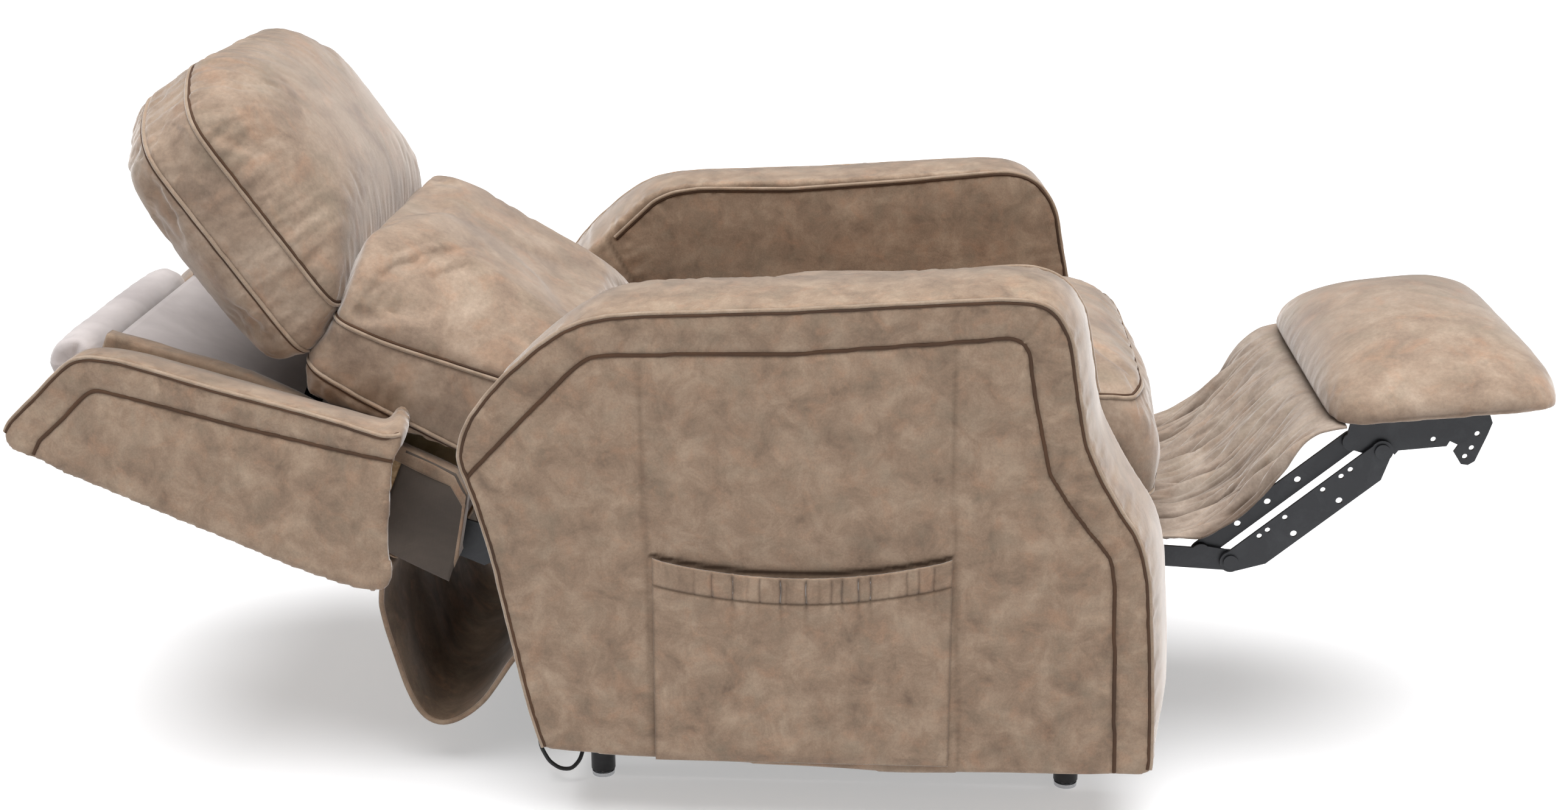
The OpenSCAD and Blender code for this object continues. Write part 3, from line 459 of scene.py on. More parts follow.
def swell(piece: bpy.types.Object, seams: Sequence[Seam], pressure: float = 4.0, cap: float = 18.0,
          frames: int = 20, hold: float = 14.0, shrink: float = 0.0) -> bpy.types.Object:
    """Lets a cushion swell as cloth under pressure, held along its seams.

    Args:
        piece: the evenly meshed cushion.
        seams: the lines where its cloth is held.
        pressure: Cloth's pressure.
        cap: how far a point may move, in millimetres.
        frames: how many frames it runs.
        hold: how far a seam holds the cloth beside it, in millimetres.
        shrink: Cloth's shrink factor, below 0 where the cloth is loose.

    Returns:
        The same piece, with the result applied.
    """
    tree_points = [Vector(s) for seam in seams for s in seam.samples()]
    tree = point_tree(tree_points)
    group = piece.vertex_groups.new(name="seams")
    rest = np.array([v.co[:] for v in piece.data.vertices])
    for i, co in enumerate(rest):
        d = tree.find(Vector(co))[2] / MM
        weight = math.exp(-(d / hold) ** 2)
        if weight > 0.02:
            group.add([i], weight, "REPLACE")
    only(piece)
    cloth = piece.modifiers.new("swell", "CLOTH")
    cloth.settings.use_pressure = True
    cloth.settings.uniform_pressure_force = pressure
    cloth.settings.vertex_group_mass = "seams"
    cloth.settings.effector_weights.gravity = 0
    cloth.settings.quality = 6
    cloth.settings.shrink_min = shrink
    cloth.settings.bending_stiffness = 0.6
    cloth.collision_settings.use_collision = False
    cloth.point_cache.frame_end = frames
    scene = bpy.context.scene
    for number in range(1, frames + 1):
        scene.frame_set(number)
    bpy.ops.object.modifier_apply(modifier=cloth.name)
    scene.frame_set(1)
    grown = np.array([v.co[:] for v in piece.data.vertices])
    move = grown - rest
    far = np.linalg.norm(move, axis=1, keepdims=True)
    move *= np.minimum(1.0, cap * MM / np.maximum(far, 1e-9))
    piece.data.vertices.foreach_set("co", (rest + move).ravel())
    piece.data.update()
    LOG.info("%s swelled by up to %.1f mm", piece.name, float(far.max()) * 1000)
    return piece


def face_tree(surface: bpy.types.Object) -> BVHTree:
    """Returns a search tree of a piece's faces.

    Args:
        surface: The piece.

    Returns:
        The tree.
    """
    return BVHTree.FromPolygons([v.co for v in surface.data.vertices],
                                [p.vertices[:] for p in surface.data.polygons])


@dataclass
class Cording:
    """Covered piping cord laid along seams, with a dark tube of painted shade in the crevice beside it."""
    cord: float = 2.3
    dark: float = 1.2

    def laid(self, name: str, surface: bpy.types.Object,
             runs: Sequence[tuple[Sequence[Vector], bool, Vector]],
             lift: float = 0.6) -> tuple[bpy.types.Object, bpy.types.Object]:
        """Lays a cord and a dark tube of painted shade beside it along each run on a surface.

        Args:
            name: the cord's name; the painted shade line takes it with an ending added.
            surface: the sewn piece that carries the cord.
            runs: each a path, whether it is closed, and a point on the side that the painted shade line lies
                on.
            lift: how far the cord's middle stands off the surface, in millimetres.

        Returns:
            The cord's and the painted shade line's objects.
        """
        tree = face_tree(surface)
        cords, seams = [], []
        for path, closed, inside in runs:
            raw = even(path, 5 * MM, closed)
            line, normals = [], []
            for p in raw:
                hit, normal, _, _ = tree.find_nearest(Vector(p))
                line.append(hit + normal * lift * MM)
                normals.append(normal)
            line_a = softened(np.array([tuple(p) for p in line]), 3, closed)
            dark = []
            count = len(line_a)
            for i, p in enumerate(line_a):
                before, after = line_a[(i - 1) % count], line_a[(i + 1) % count]
                if not closed and i in (0, count - 1):
                    before, after = line_a[max(0, i - 1)], line_a[min(count - 1, i + 1)]
                side = normals[i].cross(Vector(after) - Vector(before)).normalized()
                if side.dot(inside - Vector(p)) < 0:
                    side = -side
                # Painted shade: the dark tube lies in the crevice beside the cord, where its shadow falls.
                spot = Vector(p) + side * (self.cord + self.dark * 0.55) * MM
                hit, normal, _, _ = tree.find_nearest(spot)
                dark.append(hit + normal * 0.1 * MM)
            cords.append((line_a, closed))
            seams.append((softened(np.array([tuple(p) for p in dark]), 2, closed), closed))
        return tubes(name, cords, self.cord), tubes(name + "_seam", seams, self.dark)


def sunk_cord_and_shade(name: str, surface: bpy.types.Object, runs: Sequence[tuple[Path, bool]],
                  radius: float) -> bpy.types.Object:
    """Lays a dark line along each run, half sunk in a surface: partly a dark sewn cord, partly painted shade
    of the groove beside it.

    Args:
        name: The piece's name.
        surface: The piece that the line lies on.
        runs: Each run as its points and whether it is closed.
        radius: Half the thickness, in millimetres.

    Returns:
        The line as one piece.
    """
    tree = face_tree(surface)
    lines = []
    for path, closed in runs:
        hits = [tree.find_nearest(Vector(p)) for p in even(path, 5 * MM, closed)]
        sunk = np.array([tuple(hit - normal * radius * 0.25 * MM) for hit, normal, _, _ in hits])
        lines.append((softened(sunk, 2, closed), closed))
    return tubes(name, lines, radius)


def tubes(name: str, runs: Sequence[tuple[np.ndarray, bool]], radius: float,
          sides: int = 2) -> bpy.types.Object:
    """Makes round tubes of one radius, in millimetres, along several paths, as one mesh.

    Args:
        name: The piece's name.
        runs: Each run as its points and whether it is closed.
        radius: Half the thickness, in millimetres.
        sides: Roundness of the tube.

    Returns:
        The tubes as one piece.
    """
    curve = bpy.data.curves.new(name, "CURVE")
    curve.dimensions = "3D"
    curve.bevel_depth = radius * MM
    curve.bevel_resolution = sides
    curve.use_fill_caps = True
    for path, closed in runs:
        spline = curve.splines.new("POLY")
        spline.points.add(len(path) - 1)
        spline.points.foreach_set("co", np.c_[np.array([tuple(p) for p in path]), np.ones(len(path))].ravel())
        spline.use_cyclic_u = closed
    piece = bpy.data.objects.new(name, curve)
    bpy.context.scene.collection.objects.link(piece)
    only(piece)
    bpy.ops.object.convert(target="MESH")
    piece = bpy.context.view_layer.objects.active
    piece.name = name
    shade_smooth(piece)
    return piece


# ---------- finishes ----------
class Slot(Enum):
    """The record's material slots."""
    BLACK_STEEL = "black_steel"
    FOOT_BLACK = "foot_black"
    BRIGHT_STEEL = "bright_steel"
    SPRING_STEEL = "spring_steel"
    MOTOR_PLASTIC = "motor_plastic"
    LEAD_RUBBER = "lead_rubber"
    FRAME_WOOD = "frame_wood"
    SUEDE_ARMS = "suede_arms"
    SUEDE_CUSHION = "suede_cushion"
    SUEDE_CLOTH = "suede_cloth"
    LINING_CLOTH = "lining_cloth"
    DUST_CLOTH = "dust_cloth"
    FOAM = "foam"


class NodeBoard:
    """Adds and joins shader nodes in one tree."""

    def __init__(self, tree: bpy.types.NodeTree) -> None:
        """Keeps the tree to work on."""
        self.tree = tree

    def add(self, kind: str, inputs: Optional[dict] = None, **values: object) -> bpy.types.Node:
        """Adds a node, sets its values, and sets or joins its inputs.

        Args:
            kind: The node's type.
            inputs: Values or sockets for its inputs, by name or number.
            **values: The node's own settings.

        Returns:
            The node.
        """
        node = self.tree.nodes.new(kind)
        for name, value in values.items():
            setattr(node, name, value)
        for key, value in (inputs or {}).items():
            if isinstance(value, bpy.types.NodeSocket):
                self.tree.links.new(value, node.inputs[key])
            else:
                node.inputs[key].default_value = value
        return node

    def noise(self, vector: Socket, scale: float, detail: float, rough: float, warp: float = 0.0) -> Socket:
        """Returns a noise texture's value."""
        return self.add("ShaderNodeTexNoise", {"Vector": vector, "Scale": scale, "Detail": detail,
                                               "Roughness": rough, "Distortion": warp}).outputs["Fac"]

    def ramp(self, value: Socket, stops: Sequence[tuple[float, tuple[float, ...]]]) -> Socket:
        """Returns a colour ramp's colour.

        Args:
            value: The socket that drives the ramp.
            stops: Each stop as its place and its colour.

        Returns:
            The ramp's colour socket.
        """
        node = self.add("ShaderNodeValToRGB", {"Fac": value})
        ramp = node.color_ramp
        while len(ramp.elements) < len(stops):
            ramp.elements.new(0.5)
        for element, (at, colour) in zip(ramp.elements, stops):
            element.position = at
            element.color = (*colour[:3], 1)
        return node.outputs["Color"]

    def mix(self, share: Level, a: Shade, b: Shade, blend: str = "MIX") -> Socket:
        """Returns the mix of two colours.

        Args:
            share: How much of the second colour.
            a: The first value or socket.
            b: The second value or socket.
            blend: How the two are mixed.

        Returns:
            The colour socket.
        """
        node = self.add("ShaderNodeMix", data_type="RGBA", blend_type=blend)
        for key, value in ((0, share), (6, a), (7, b)):
            if isinstance(value, bpy.types.NodeSocket):
                self.tree.links.new(value, node.inputs[key])
            else:
                node.inputs[key].default_value = value if key == 0 else (*value[:3], 1)
        return node.outputs[2]

    def math(self, kind: str, a: Level, b: Level = 0.0, clamp: bool = False) -> Socket:
        """Returns a math node's value.

        Args:
            kind: The sum that is done.
            a: The first value or socket.
            b: The second value or socket.
            clamp: Whether the result stays between 0 and 1.

        Returns:
            The value socket.
        """
        node = self.add("ShaderNodeMath", operation=kind, use_clamp=clamp)
        for key, value in ((0, a), (1, b)):
            if isinstance(value, bpy.types.NodeSocket):
                self.tree.links.new(value, node.inputs[key])
            else:
                node.inputs[key].default_value = value
        return node.outputs[0]


def new_group(name: str, sockets_in: Sequence[tuple[str, str]], sockets_out: Sequence[tuple[str, str]]
              ) -> tuple[bpy.types.NodeTree, NodeBoard, bpy.types.Node, bpy.types.Node]:
    """Makes an empty shader node group.

    Args:
        name: the group's name.
        sockets_in: its inputs, each (name, socket type).
        sockets_out: its outputs, each (name, socket type).

    Returns:
        The group, its board, its input node and its output node.
    """
    group = bpy.data.node_groups.new(name, "ShaderNodeTree")
    for label, kind in sockets_in:
        group.interface.new_socket(label, in_out="INPUT", socket_type=kind)
    for label, kind in sockets_out:
        group.interface.new_socket(label, in_out="OUTPUT", socket_type=kind)
    board = NodeBoard(group)
    return group, board, board.add("NodeGroupInput"), board.add("NodeGroupOutput")


def mottle_group() -> bpy.types.NodeTree:
    """Makes the group of cloudy blotches that brushed suede shows, at three sizes.

    Returns:
        The group.
    """
    group, board, given, result = new_group(
        "mottle", [("Vector", "NodeSocketVector"), ("Scale", "NodeSocketFloat")],
        [("Cloud", "NodeSocketFloat"), ("Patch", "NodeSocketFloat"), ("Cool", "NodeSocketFloat"),
         ("Fleck", "NodeSocketFloat")])
    scaled = board.add("ShaderNodeVectorMath", {0: given.outputs["Vector"]}, operation="SCALE")
    group.links.new(given.outputs["Scale"], scaled.inputs["Scale"])
    at = scaled.outputs["Vector"]
    shifted = board.add("ShaderNodeVectorMath", {0: at, 1: (7.3, 2.1, 4.4)},
                        operation="ADD").outputs["Vector"]
    far = board.add("ShaderNodeVectorMath", {0: at, 1: (-3.7, 9.2, 1.6)}, operation="ADD").outputs["Vector"]
    for label, value in (("Cloud", board.noise(at, 1.0, 7.0, 0.66, 0.4)),
                         ("Patch", board.noise(shifted, 1.7, 6.0, 0.62, 0.6)),
                         ("Cool", board.noise(far, 1.25, 5.0, 0.6, 0.3)),
                         ("Fleck", board.noise(at, 16.0, 4.0, 0.7))):
        group.links.new(value, result.inputs[label])
    return group


def nap_group() -> bpy.types.NodeTree:
    """Makes the group of a short nap: fine grain with shallow crackle, as one height.

    Returns:
        The group.
    """
    group, board, given, result = new_group(
        "nap", [("Vector", "NodeSocketVector"), ("Grain", "NodeSocketFloat")],
        [("Height", "NodeSocketFloat")])
    at = given.outputs["Vector"]
    fine = board.noise(at, 1500.0, 2.0, 0.6)
    coarse = board.noise(at, 420.0, 3.0, 0.6)
    crackle = board.add("ShaderNodeTexVoronoi", {"Vector": at, "Scale": 300.0},
                        feature="DISTANCE_TO_EDGE").outputs["Distance"]
    crackle = board.math("MINIMUM", crackle, 0.12)
    height = board.math("ADD", board.math("MULTIPLY", fine, 0.5), board.math("MULTIPLY", coarse, 0.6))
    height = board.math("ADD", height, board.math("MULTIPLY", crackle, 1.4))
    group.links.new(board.math("MULTIPLY", height, given.outputs["Grain"]), result.inputs["Height"])
    return group


def weave_group() -> bpy.types.NodeTree:
    """Makes the group of a plain weave, as one height, for threads of a given count per metre.

    Returns:
        The group.
    """
    group, board, given, result = new_group(
        "weave", [("Vector", "NodeSocketVector"), ("Count", "NodeSocketFloat")],
        [("Height", "NodeSocketFloat")])
    scaled = board.add("ShaderNodeVectorMath", {0: given.outputs["Vector"]}, operation="SCALE")
    group.links.new(given.outputs["Count"], scaled.inputs["Scale"])
    parts = board.add("ShaderNodeSeparateXYZ", {0: scaled.outputs["Vector"]})
    waves = [board.math("SINE", board.math("MULTIPLY", parts.outputs[k], 6.2832)) for k in (0, 1, 2)]
    height = board.math("MULTIPLY", board.math("ADD", waves[0], waves[2]), waves[1])
    group.links.new(board.math("MULTIPLY", height, 0.25), result.inputs["Height"])
    return group


def dust_group() -> bpy.types.NodeTree:
    """Makes the group of faint handling marks on hard surfaces, as one mask.

    Returns:
        The group.
    """
    group, board, given, result = new_group(
        "handling", [("Vector", "NodeSocketVector"), ("Scale", "NodeSocketFloat")],
        [("Mask", "NodeSocketFloat"), ("Peel", "NodeSocketFloat")])
    scaled = board.add("ShaderNodeVectorMath", {0: given.outputs["Vector"]}, operation="SCALE")
    group.links.new(given.outputs["Scale"], scaled.inputs["Scale"])
    group.links.new(board.noise(scaled.outputs["Vector"], 1.0, 6.0, 0.65, 0.5), result.inputs["Mask"])
    group.links.new(board.noise(scaled.outputs["Vector"], 30.0, 3.0, 0.55), result.inputs["Peel"])
    return group


@dataclass
class GroupShelf:
    """The shared shader groups, each built once."""
    mottle: bpy.types.NodeTree
    nap: bpy.types.NodeTree
    weave: bpy.types.NodeTree
    handling: bpy.types.NodeTree

    @classmethod
    def built(cls) -> "GroupShelf":
        """Builds every shared group."""
        return cls(mottle_group(), nap_group(), weave_group(), dust_group())


@dataclass(frozen=True)
class Suede:
    """Mottled faux suede: its colours, the size of its blotches, its nap, its sheen and the strength of its
    painted seam shade.
    """
    name: str
    dark: tuple[float, float, float] = (0.175, 0.120, 0.084)
    mid: tuple[float, float, float] = (0.282, 0.197, 0.137)
    light: tuple[float, float, float] = (0.395, 0.293, 0.210)
    rust: tuple[float, float, float] = (0.400, 0.232, 0.145)
    cool: tuple[float, float, float] = (0.225, 0.182, 0.132)
    blotch: float = 25.0
    contrast: float = 0.72
    sheen: float = 0.9
    grain: float = 1.0
    seam_shade: float = 0.9

    def material(self, shelf: GroupShelf) -> bpy.types.Material:
        """Builds the finish's material.

        Args:
            shelf: The shared shader groups.

        Returns:
            The material.
        """
        material = bpy.data.materials.new(self.name)
        material.use_nodes = True
        material.node_tree.nodes.clear()
        board = NodeBoard(material.node_tree)
        at = board.add("ShaderNodeTexCoord").outputs["Object"]
        mottle = board.add("ShaderNodeGroup", node_tree=shelf.mottle)
        mottle.inputs["Scale"].default_value = self.blotch
        material.node_tree.links.new(at, mottle.inputs["Vector"])
        spread = 0.16 / self.contrast
        colour = board.ramp(mottle.outputs["Cloud"], [(0.5 - spread, self.dark), (0.5, self.mid),
                                                      (0.5 + spread, self.light)])
        patch = board.add("ShaderNodeMapRange", {"Value": mottle.outputs["Patch"], "From Min": 0.52,
                                                 "From Max": 0.72, "To Max": 0.55 * self.contrast})
        colour = board.mix(patch.outputs[0], colour, self.rust)
        cool = board.add("ShaderNodeMapRange", {"Value": mottle.outputs["Cool"], "From Min": 0.5,
                                                "From Max": 0.72, "To Max": 0.6 * self.contrast})
        colour = board.mix(cool.outputs[0], colour, self.cool)
        fleck = board.add("ShaderNodeMapRange", {"Value": mottle.outputs["Fleck"], "From Min": 0.3,
                                                 "From Max": 0.7, "To Min": 0.88, "To Max": 1.1})
        colour = board.mix(1.0, colour, fleck.outputs[0], "MULTIPLY")
        # Painted shade: the seam attribute darkens the colour towards dark brown along seams, crease hollows
        # and pleats, where their shadow falls; the finish's seam shade strength sets how much.
        seam = board.add("ShaderNodeAttribute", attribute_name="seam").outputs["Fac"]
        colour = board.mix(board.math("MULTIPLY", seam, self.seam_shade), colour, (0.055, 0.030, 0.016))
        nap = board.add("ShaderNodeGroup", {"Vector": at, "Grain": self.grain}, node_tree=shelf.nap)
        rough = board.add("ShaderNodeMapRange", {"Value": mottle.outputs["Cloud"], "From Min": 0.3,
                                                 "From Max": 0.7, "To Min": 0.9, "To Max": 0.72})
        bump = board.add("ShaderNodeBump", {"Height": nap.outputs["Height"], "Strength": 0.45,
                                            "Distance": 0.0006})
        shader = board.add("ShaderNodeBsdfPrincipled", {"Base Color": colour, "Roughness": rough.outputs[0],
                                                        "Normal": bump.outputs[0]})
        shader.inputs["Sheen Weight"].default_value = self.sheen
        shader.inputs["Sheen Roughness"].default_value = 0.38
        shader.inputs["Sheen Tint"].default_value = (0.94, 0.91, 0.89, 1)
        shader.inputs["Specular IOR Level"].default_value = 0.25
        board.add("ShaderNodeOutputMaterial", {"Surface": shader.outputs[0]})
        return material


@dataclass(frozen=True)
class Cloth:
    """Plain woven cloth: its two shades, thread count and sheen."""
    name: str
    shade: tuple[float, float, float]
    deep: tuple[float, float, float]
    count: float = 900.0
    cloud: float = 9.0
    sheen: float = 0.2

    def material(self, shelf: GroupShelf) -> bpy.types.Material:
        """Builds the finish's material.

        Args:
            shelf: The shared shader groups.

        Returns:
            The material.
        """
        material = bpy.data.materials.new(self.name)
        material.use_nodes = True
        material.node_tree.nodes.clear()
        board = NodeBoard(material.node_tree)
        at = board.add("ShaderNodeTexCoord").outputs["Object"]
        cloud = board.noise(at, self.cloud, 5.0, 0.6, 0.3)
        colour = board.ramp(cloud, [(0.34, self.deep), (0.66, self.shade)])
        weave = board.add("ShaderNodeGroup", {"Vector": at, "Count": self.count}, node_tree=shelf.weave)
        tint = board.add("ShaderNodeMapRange", {"Value": weave.outputs["Height"], "From Min": -0.5,
                                                "From Max": 0.5, "To Min": 0.9, "To Max": 1.06})
        colour = board.mix(1.0, colour, tint.outputs[0], "MULTIPLY")
        rough = board.add("ShaderNodeMapRange", {"Value": cloud, "To Min": 0.75, "To Max": 0.95})
        bump = board.add("ShaderNodeBump", {"Height": weave.outputs["Height"], "Strength": 0.3,
                                            "Distance": 0.0004})
        shader = board.add("ShaderNodeBsdfPrincipled", {"Base Color": colour, "Roughness": rough.outputs[0],
                                                        "Normal": bump.outputs[0]})
        shader.inputs["Sheen Weight"].default_value = self.sheen
        shader.inputs["Sheen Roughness"].default_value = 0.5
        board.add("ShaderNodeOutputMaterial", {"Surface": shader.outputs[0]})
        return material


@dataclass(frozen=True)
class Hard:
    """A hard surface: painted or bare steel, moulded plastic or rubber."""
    name: str
    colour: tuple[float, float, float]
    worn: tuple[float, float, float]
    metallic: float = 0.0
    rough_low: float = 0.35
    rough_high: float = 0.55
    scale: float = 25.0
    peel: float = 0.15

    def material(self, shelf: GroupShelf) -> bpy.types.Material:
        """Builds the finish's material.

        Args:
            shelf: The shared shader groups.

        Returns:
            The material.
        """
        material = bpy.data.materials.new(self.name)
        material.use_nodes = True
        material.node_tree.nodes.clear()
        board = NodeBoard(material.node_tree)
        at = board.add("ShaderNodeTexCoord").outputs["Object"]
        marks = board.add("ShaderNodeGroup", {"Vector": at, "Scale": self.scale}, node_tree=shelf.handling)
        share = board.add("ShaderNodeMapRange", {"Value": marks.outputs["Mask"], "From Min": 0.45,
                                                 "From Max": 0.75})
        colour = board.mix(share.outputs[0], self.colour, self.worn)
        rough = board.add("ShaderNodeMapRange", {"Value": marks.outputs["Mask"], "From Min": 0.3,
                                                 "From Max": 0.7,
                                                 "To Min": self.rough_low, "To Max": self.rough_high})
        bump = board.add("ShaderNodeBump", {"Height": marks.outputs["Peel"], "Strength": self.peel,
                                            "Distance": 0.0004})
        shader = board.add("ShaderNodeBsdfPrincipled", {"Base Color": colour, "Roughness": rough.outputs[0],
                                                        "Normal": bump.outputs[0]})
        shader.inputs["Metallic"].default_value = self.metallic
        board.add("ShaderNodeOutputMaterial", {"Surface": shader.outputs[0]})
        return material


@dataclass(frozen=True)
class Timber:
    """Planed softwood or ply, with its grain along one axis."""
    name: str
    pale: tuple[float, float, float] = (0.56, 0.39, 0.22)
    ring: tuple[float, float, float] = (0.36, 0.22, 0.11)

    def material(self, shelf: GroupShelf) -> bpy.types.Material:
        """Builds the finish's material.

        Args:
            shelf: The shared shader groups.

        Returns:
            The material.
        """
        material = bpy.data.materials.new(self.name)
        material.use_nodes = True
        material.node_tree.nodes.clear()
        board = NodeBoard(material.node_tree)
        at = board.add("ShaderNodeTexCoord").outputs["Object"]
        long = board.add("ShaderNodeMapping", {"Vector": at, "Scale": (40.0, 3.0, 40.0)}).outputs[0]
        grain = board.noise(long, 2.2, 6.0, 0.6, 1.2)
        colour = board.ramp(grain, [(0.38, self.ring), (0.6, self.pale)])
        marks = board.add("ShaderNodeGroup", {"Vector": at, "Scale": 18.0}, node_tree=shelf.handling)
        rough = board.add("ShaderNodeMapRange", {"Value": marks.outputs["Mask"], "To Min": 0.55,
                                                 "To Max": 0.8})
        bump = board.add("ShaderNodeBump", {"Height": grain, "Strength": 0.25, "Distance": 0.0006})
        shader = board.add("ShaderNodeBsdfPrincipled", {"Base Color": colour, "Roughness": rough.outputs[0],
                                                        "Normal": bump.outputs[0]})
        board.add("ShaderNodeOutputMaterial", {"Surface": shader.outputs[0]})
        return material


@dataclass
class Wardrobe:
    """Every finish of the chair, built once."""
    suede: bpy.types.Material
    suede_soft: bpy.types.Material
    gusset: bpy.types.Material
    flap: bpy.types.Material
    cord: bpy.types.Material
    seam_line: bpy.types.Material
    lining: bpy.types.Material
    dust: bpy.types.Material
    webbing: bpy.types.Material
    foam: bpy.types.Material
    black_steel: bpy.types.Material
    foot_black: bpy.types.Material
    bright: bpy.types.Material
    spring: bpy.types.Material
    motor: bpy.types.Material
    rubber: bpy.types.Material
    timber: bpy.types.Material

    @classmethod
    def built(cls) -> "Wardrobe":
        """Builds every finish.

        Returns:
            The finishes.
        """
        shelf = GroupShelf.built()

        def make(finish: "Suede | Cloth | Hard | Timber") -> bpy.types.Material:
            """Returns a finish's material."""
            return finish.material(shelf)

        return cls(
            suede=make(Suede("mottled_suede")),
            suede_soft=make(Suede("cushion_suede", dark=(0.215, 0.152, 0.112), mid=(0.310, 0.225, 0.164),
                                  light=(0.400, 0.306, 0.232),
                                  blotch=13.0, contrast=0.9, sheen=0.85)),
            gusset=make(Suede("gusset_suede", dark=(0.210, 0.160, 0.125), mid=(0.330, 0.262, 0.212),
                              light=(0.440, 0.368, 0.305),
                              rust=(0.36, 0.24, 0.165), blotch=16.0, contrast=0.8, sheen=0.6)),
            flap=make(Suede("flap_suede", dark=(0.105, 0.072, 0.048), mid=(0.170, 0.118, 0.080),
                            light=(0.240, 0.172, 0.120),
                            blotch=18.0, contrast=0.8, sheen=0.2)),
            cord=make(Suede("piping_suede", dark=(0.240, 0.172, 0.122), mid=(0.330, 0.245, 0.178),
                            light=(0.420, 0.325, 0.250),
                            blotch=30.0, contrast=0.6, seam_shade=0.0)),
            # Dark brown tubes: painted shade in the crevice beside each piping cord, and the band lines,
            # partly a dark cord and partly painted groove shade.
            seam_line=make(Cloth("sunk_cord_and_shade", (0.082, 0.038, 0.017), (0.046, 0.021, 0.009), sheen=0.0)),
            lining=make(Cloth("lining_cloth", (0.560, 0.510, 0.500), (0.420, 0.375, 0.370), count=700.0,
                              sheen=0.4)),
            dust=make(Cloth("dust_cloth", (0.105, 0.082, 0.066), (0.058, 0.045, 0.036), count=600.0,
                            sheen=0.1)),
            webbing=make(Cloth("webbing", (0.11, 0.095, 0.085), (0.060, 0.050, 0.044), count=400.0)),
            foam=make(Cloth("foam", (0.62, 0.52, 0.33), (0.48, 0.39, 0.22), count=300.0, cloud=40.0)),
            black_steel=make(Hard("black_steel", (0.020, 0.021, 0.024), (0.040, 0.042, 0.046), 0.35, 0.34,
                                  0.5)),
            foot_black=make(Hard("foot_black", (0.016, 0.016, 0.018), (0.035, 0.035, 0.037), 0.1, 0.3, 0.5)),
            bright=make(Hard("bright_steel", (0.62, 0.63, 0.65), (0.48, 0.49, 0.51), 1.0, 0.2, 0.36, 60.0,
                             0.08)),
            spring=make(Hard("spring_steel", (0.26, 0.27, 0.29), (0.16, 0.16, 0.17), 0.9, 0.3, 0.5)),
            motor=make(Hard("motor_plastic", (0.030, 0.031, 0.034), (0.050, 0.051, 0.055), 0.0, 0.45, 0.62,
                            40.0, 0.3)),
            rubber=make(Hard("lead_rubber", (0.010, 0.010, 0.011), (0.022, 0.022, 0.024), 0.0, 0.4, 0.6, 60.0,
                             0.1)),
            timber=make(Timber("frame_timber")))


def dress(piece: bpy.types.Object, body: str, material: bpy.types.Material, slot: Slot,
          stands_for: Sequence[str] = (), fill: Optional[float] = None,
          rides: bool = True) -> bpy.types.Object:
    """Finishes a piece, parents it to the body that it rides on when it rides as a whole, hides the CAD nodes
    that it stands for, and reports it.

    Args:
        piece: The piece to work on.
        body: The body that it rides on.
        material: Its finish.
        slot: Its slot; not used.
        stands_for: The CAD nodes that it replaces.
        fill: How full its padding is, for a padded piece; not used.
        rides: Whether it moves with the body as a whole.

    Returns:
        The same piece.
    """
    piece.data.materials.clear()
    piece.data.materials.append(material)
    if rides:
        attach(piece, body)
    if stands_for:
        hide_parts(*stands_for)
    LOG.info("%s rides on %s, %d points", piece.name, body, len(piece.data.vertices))
    return piece


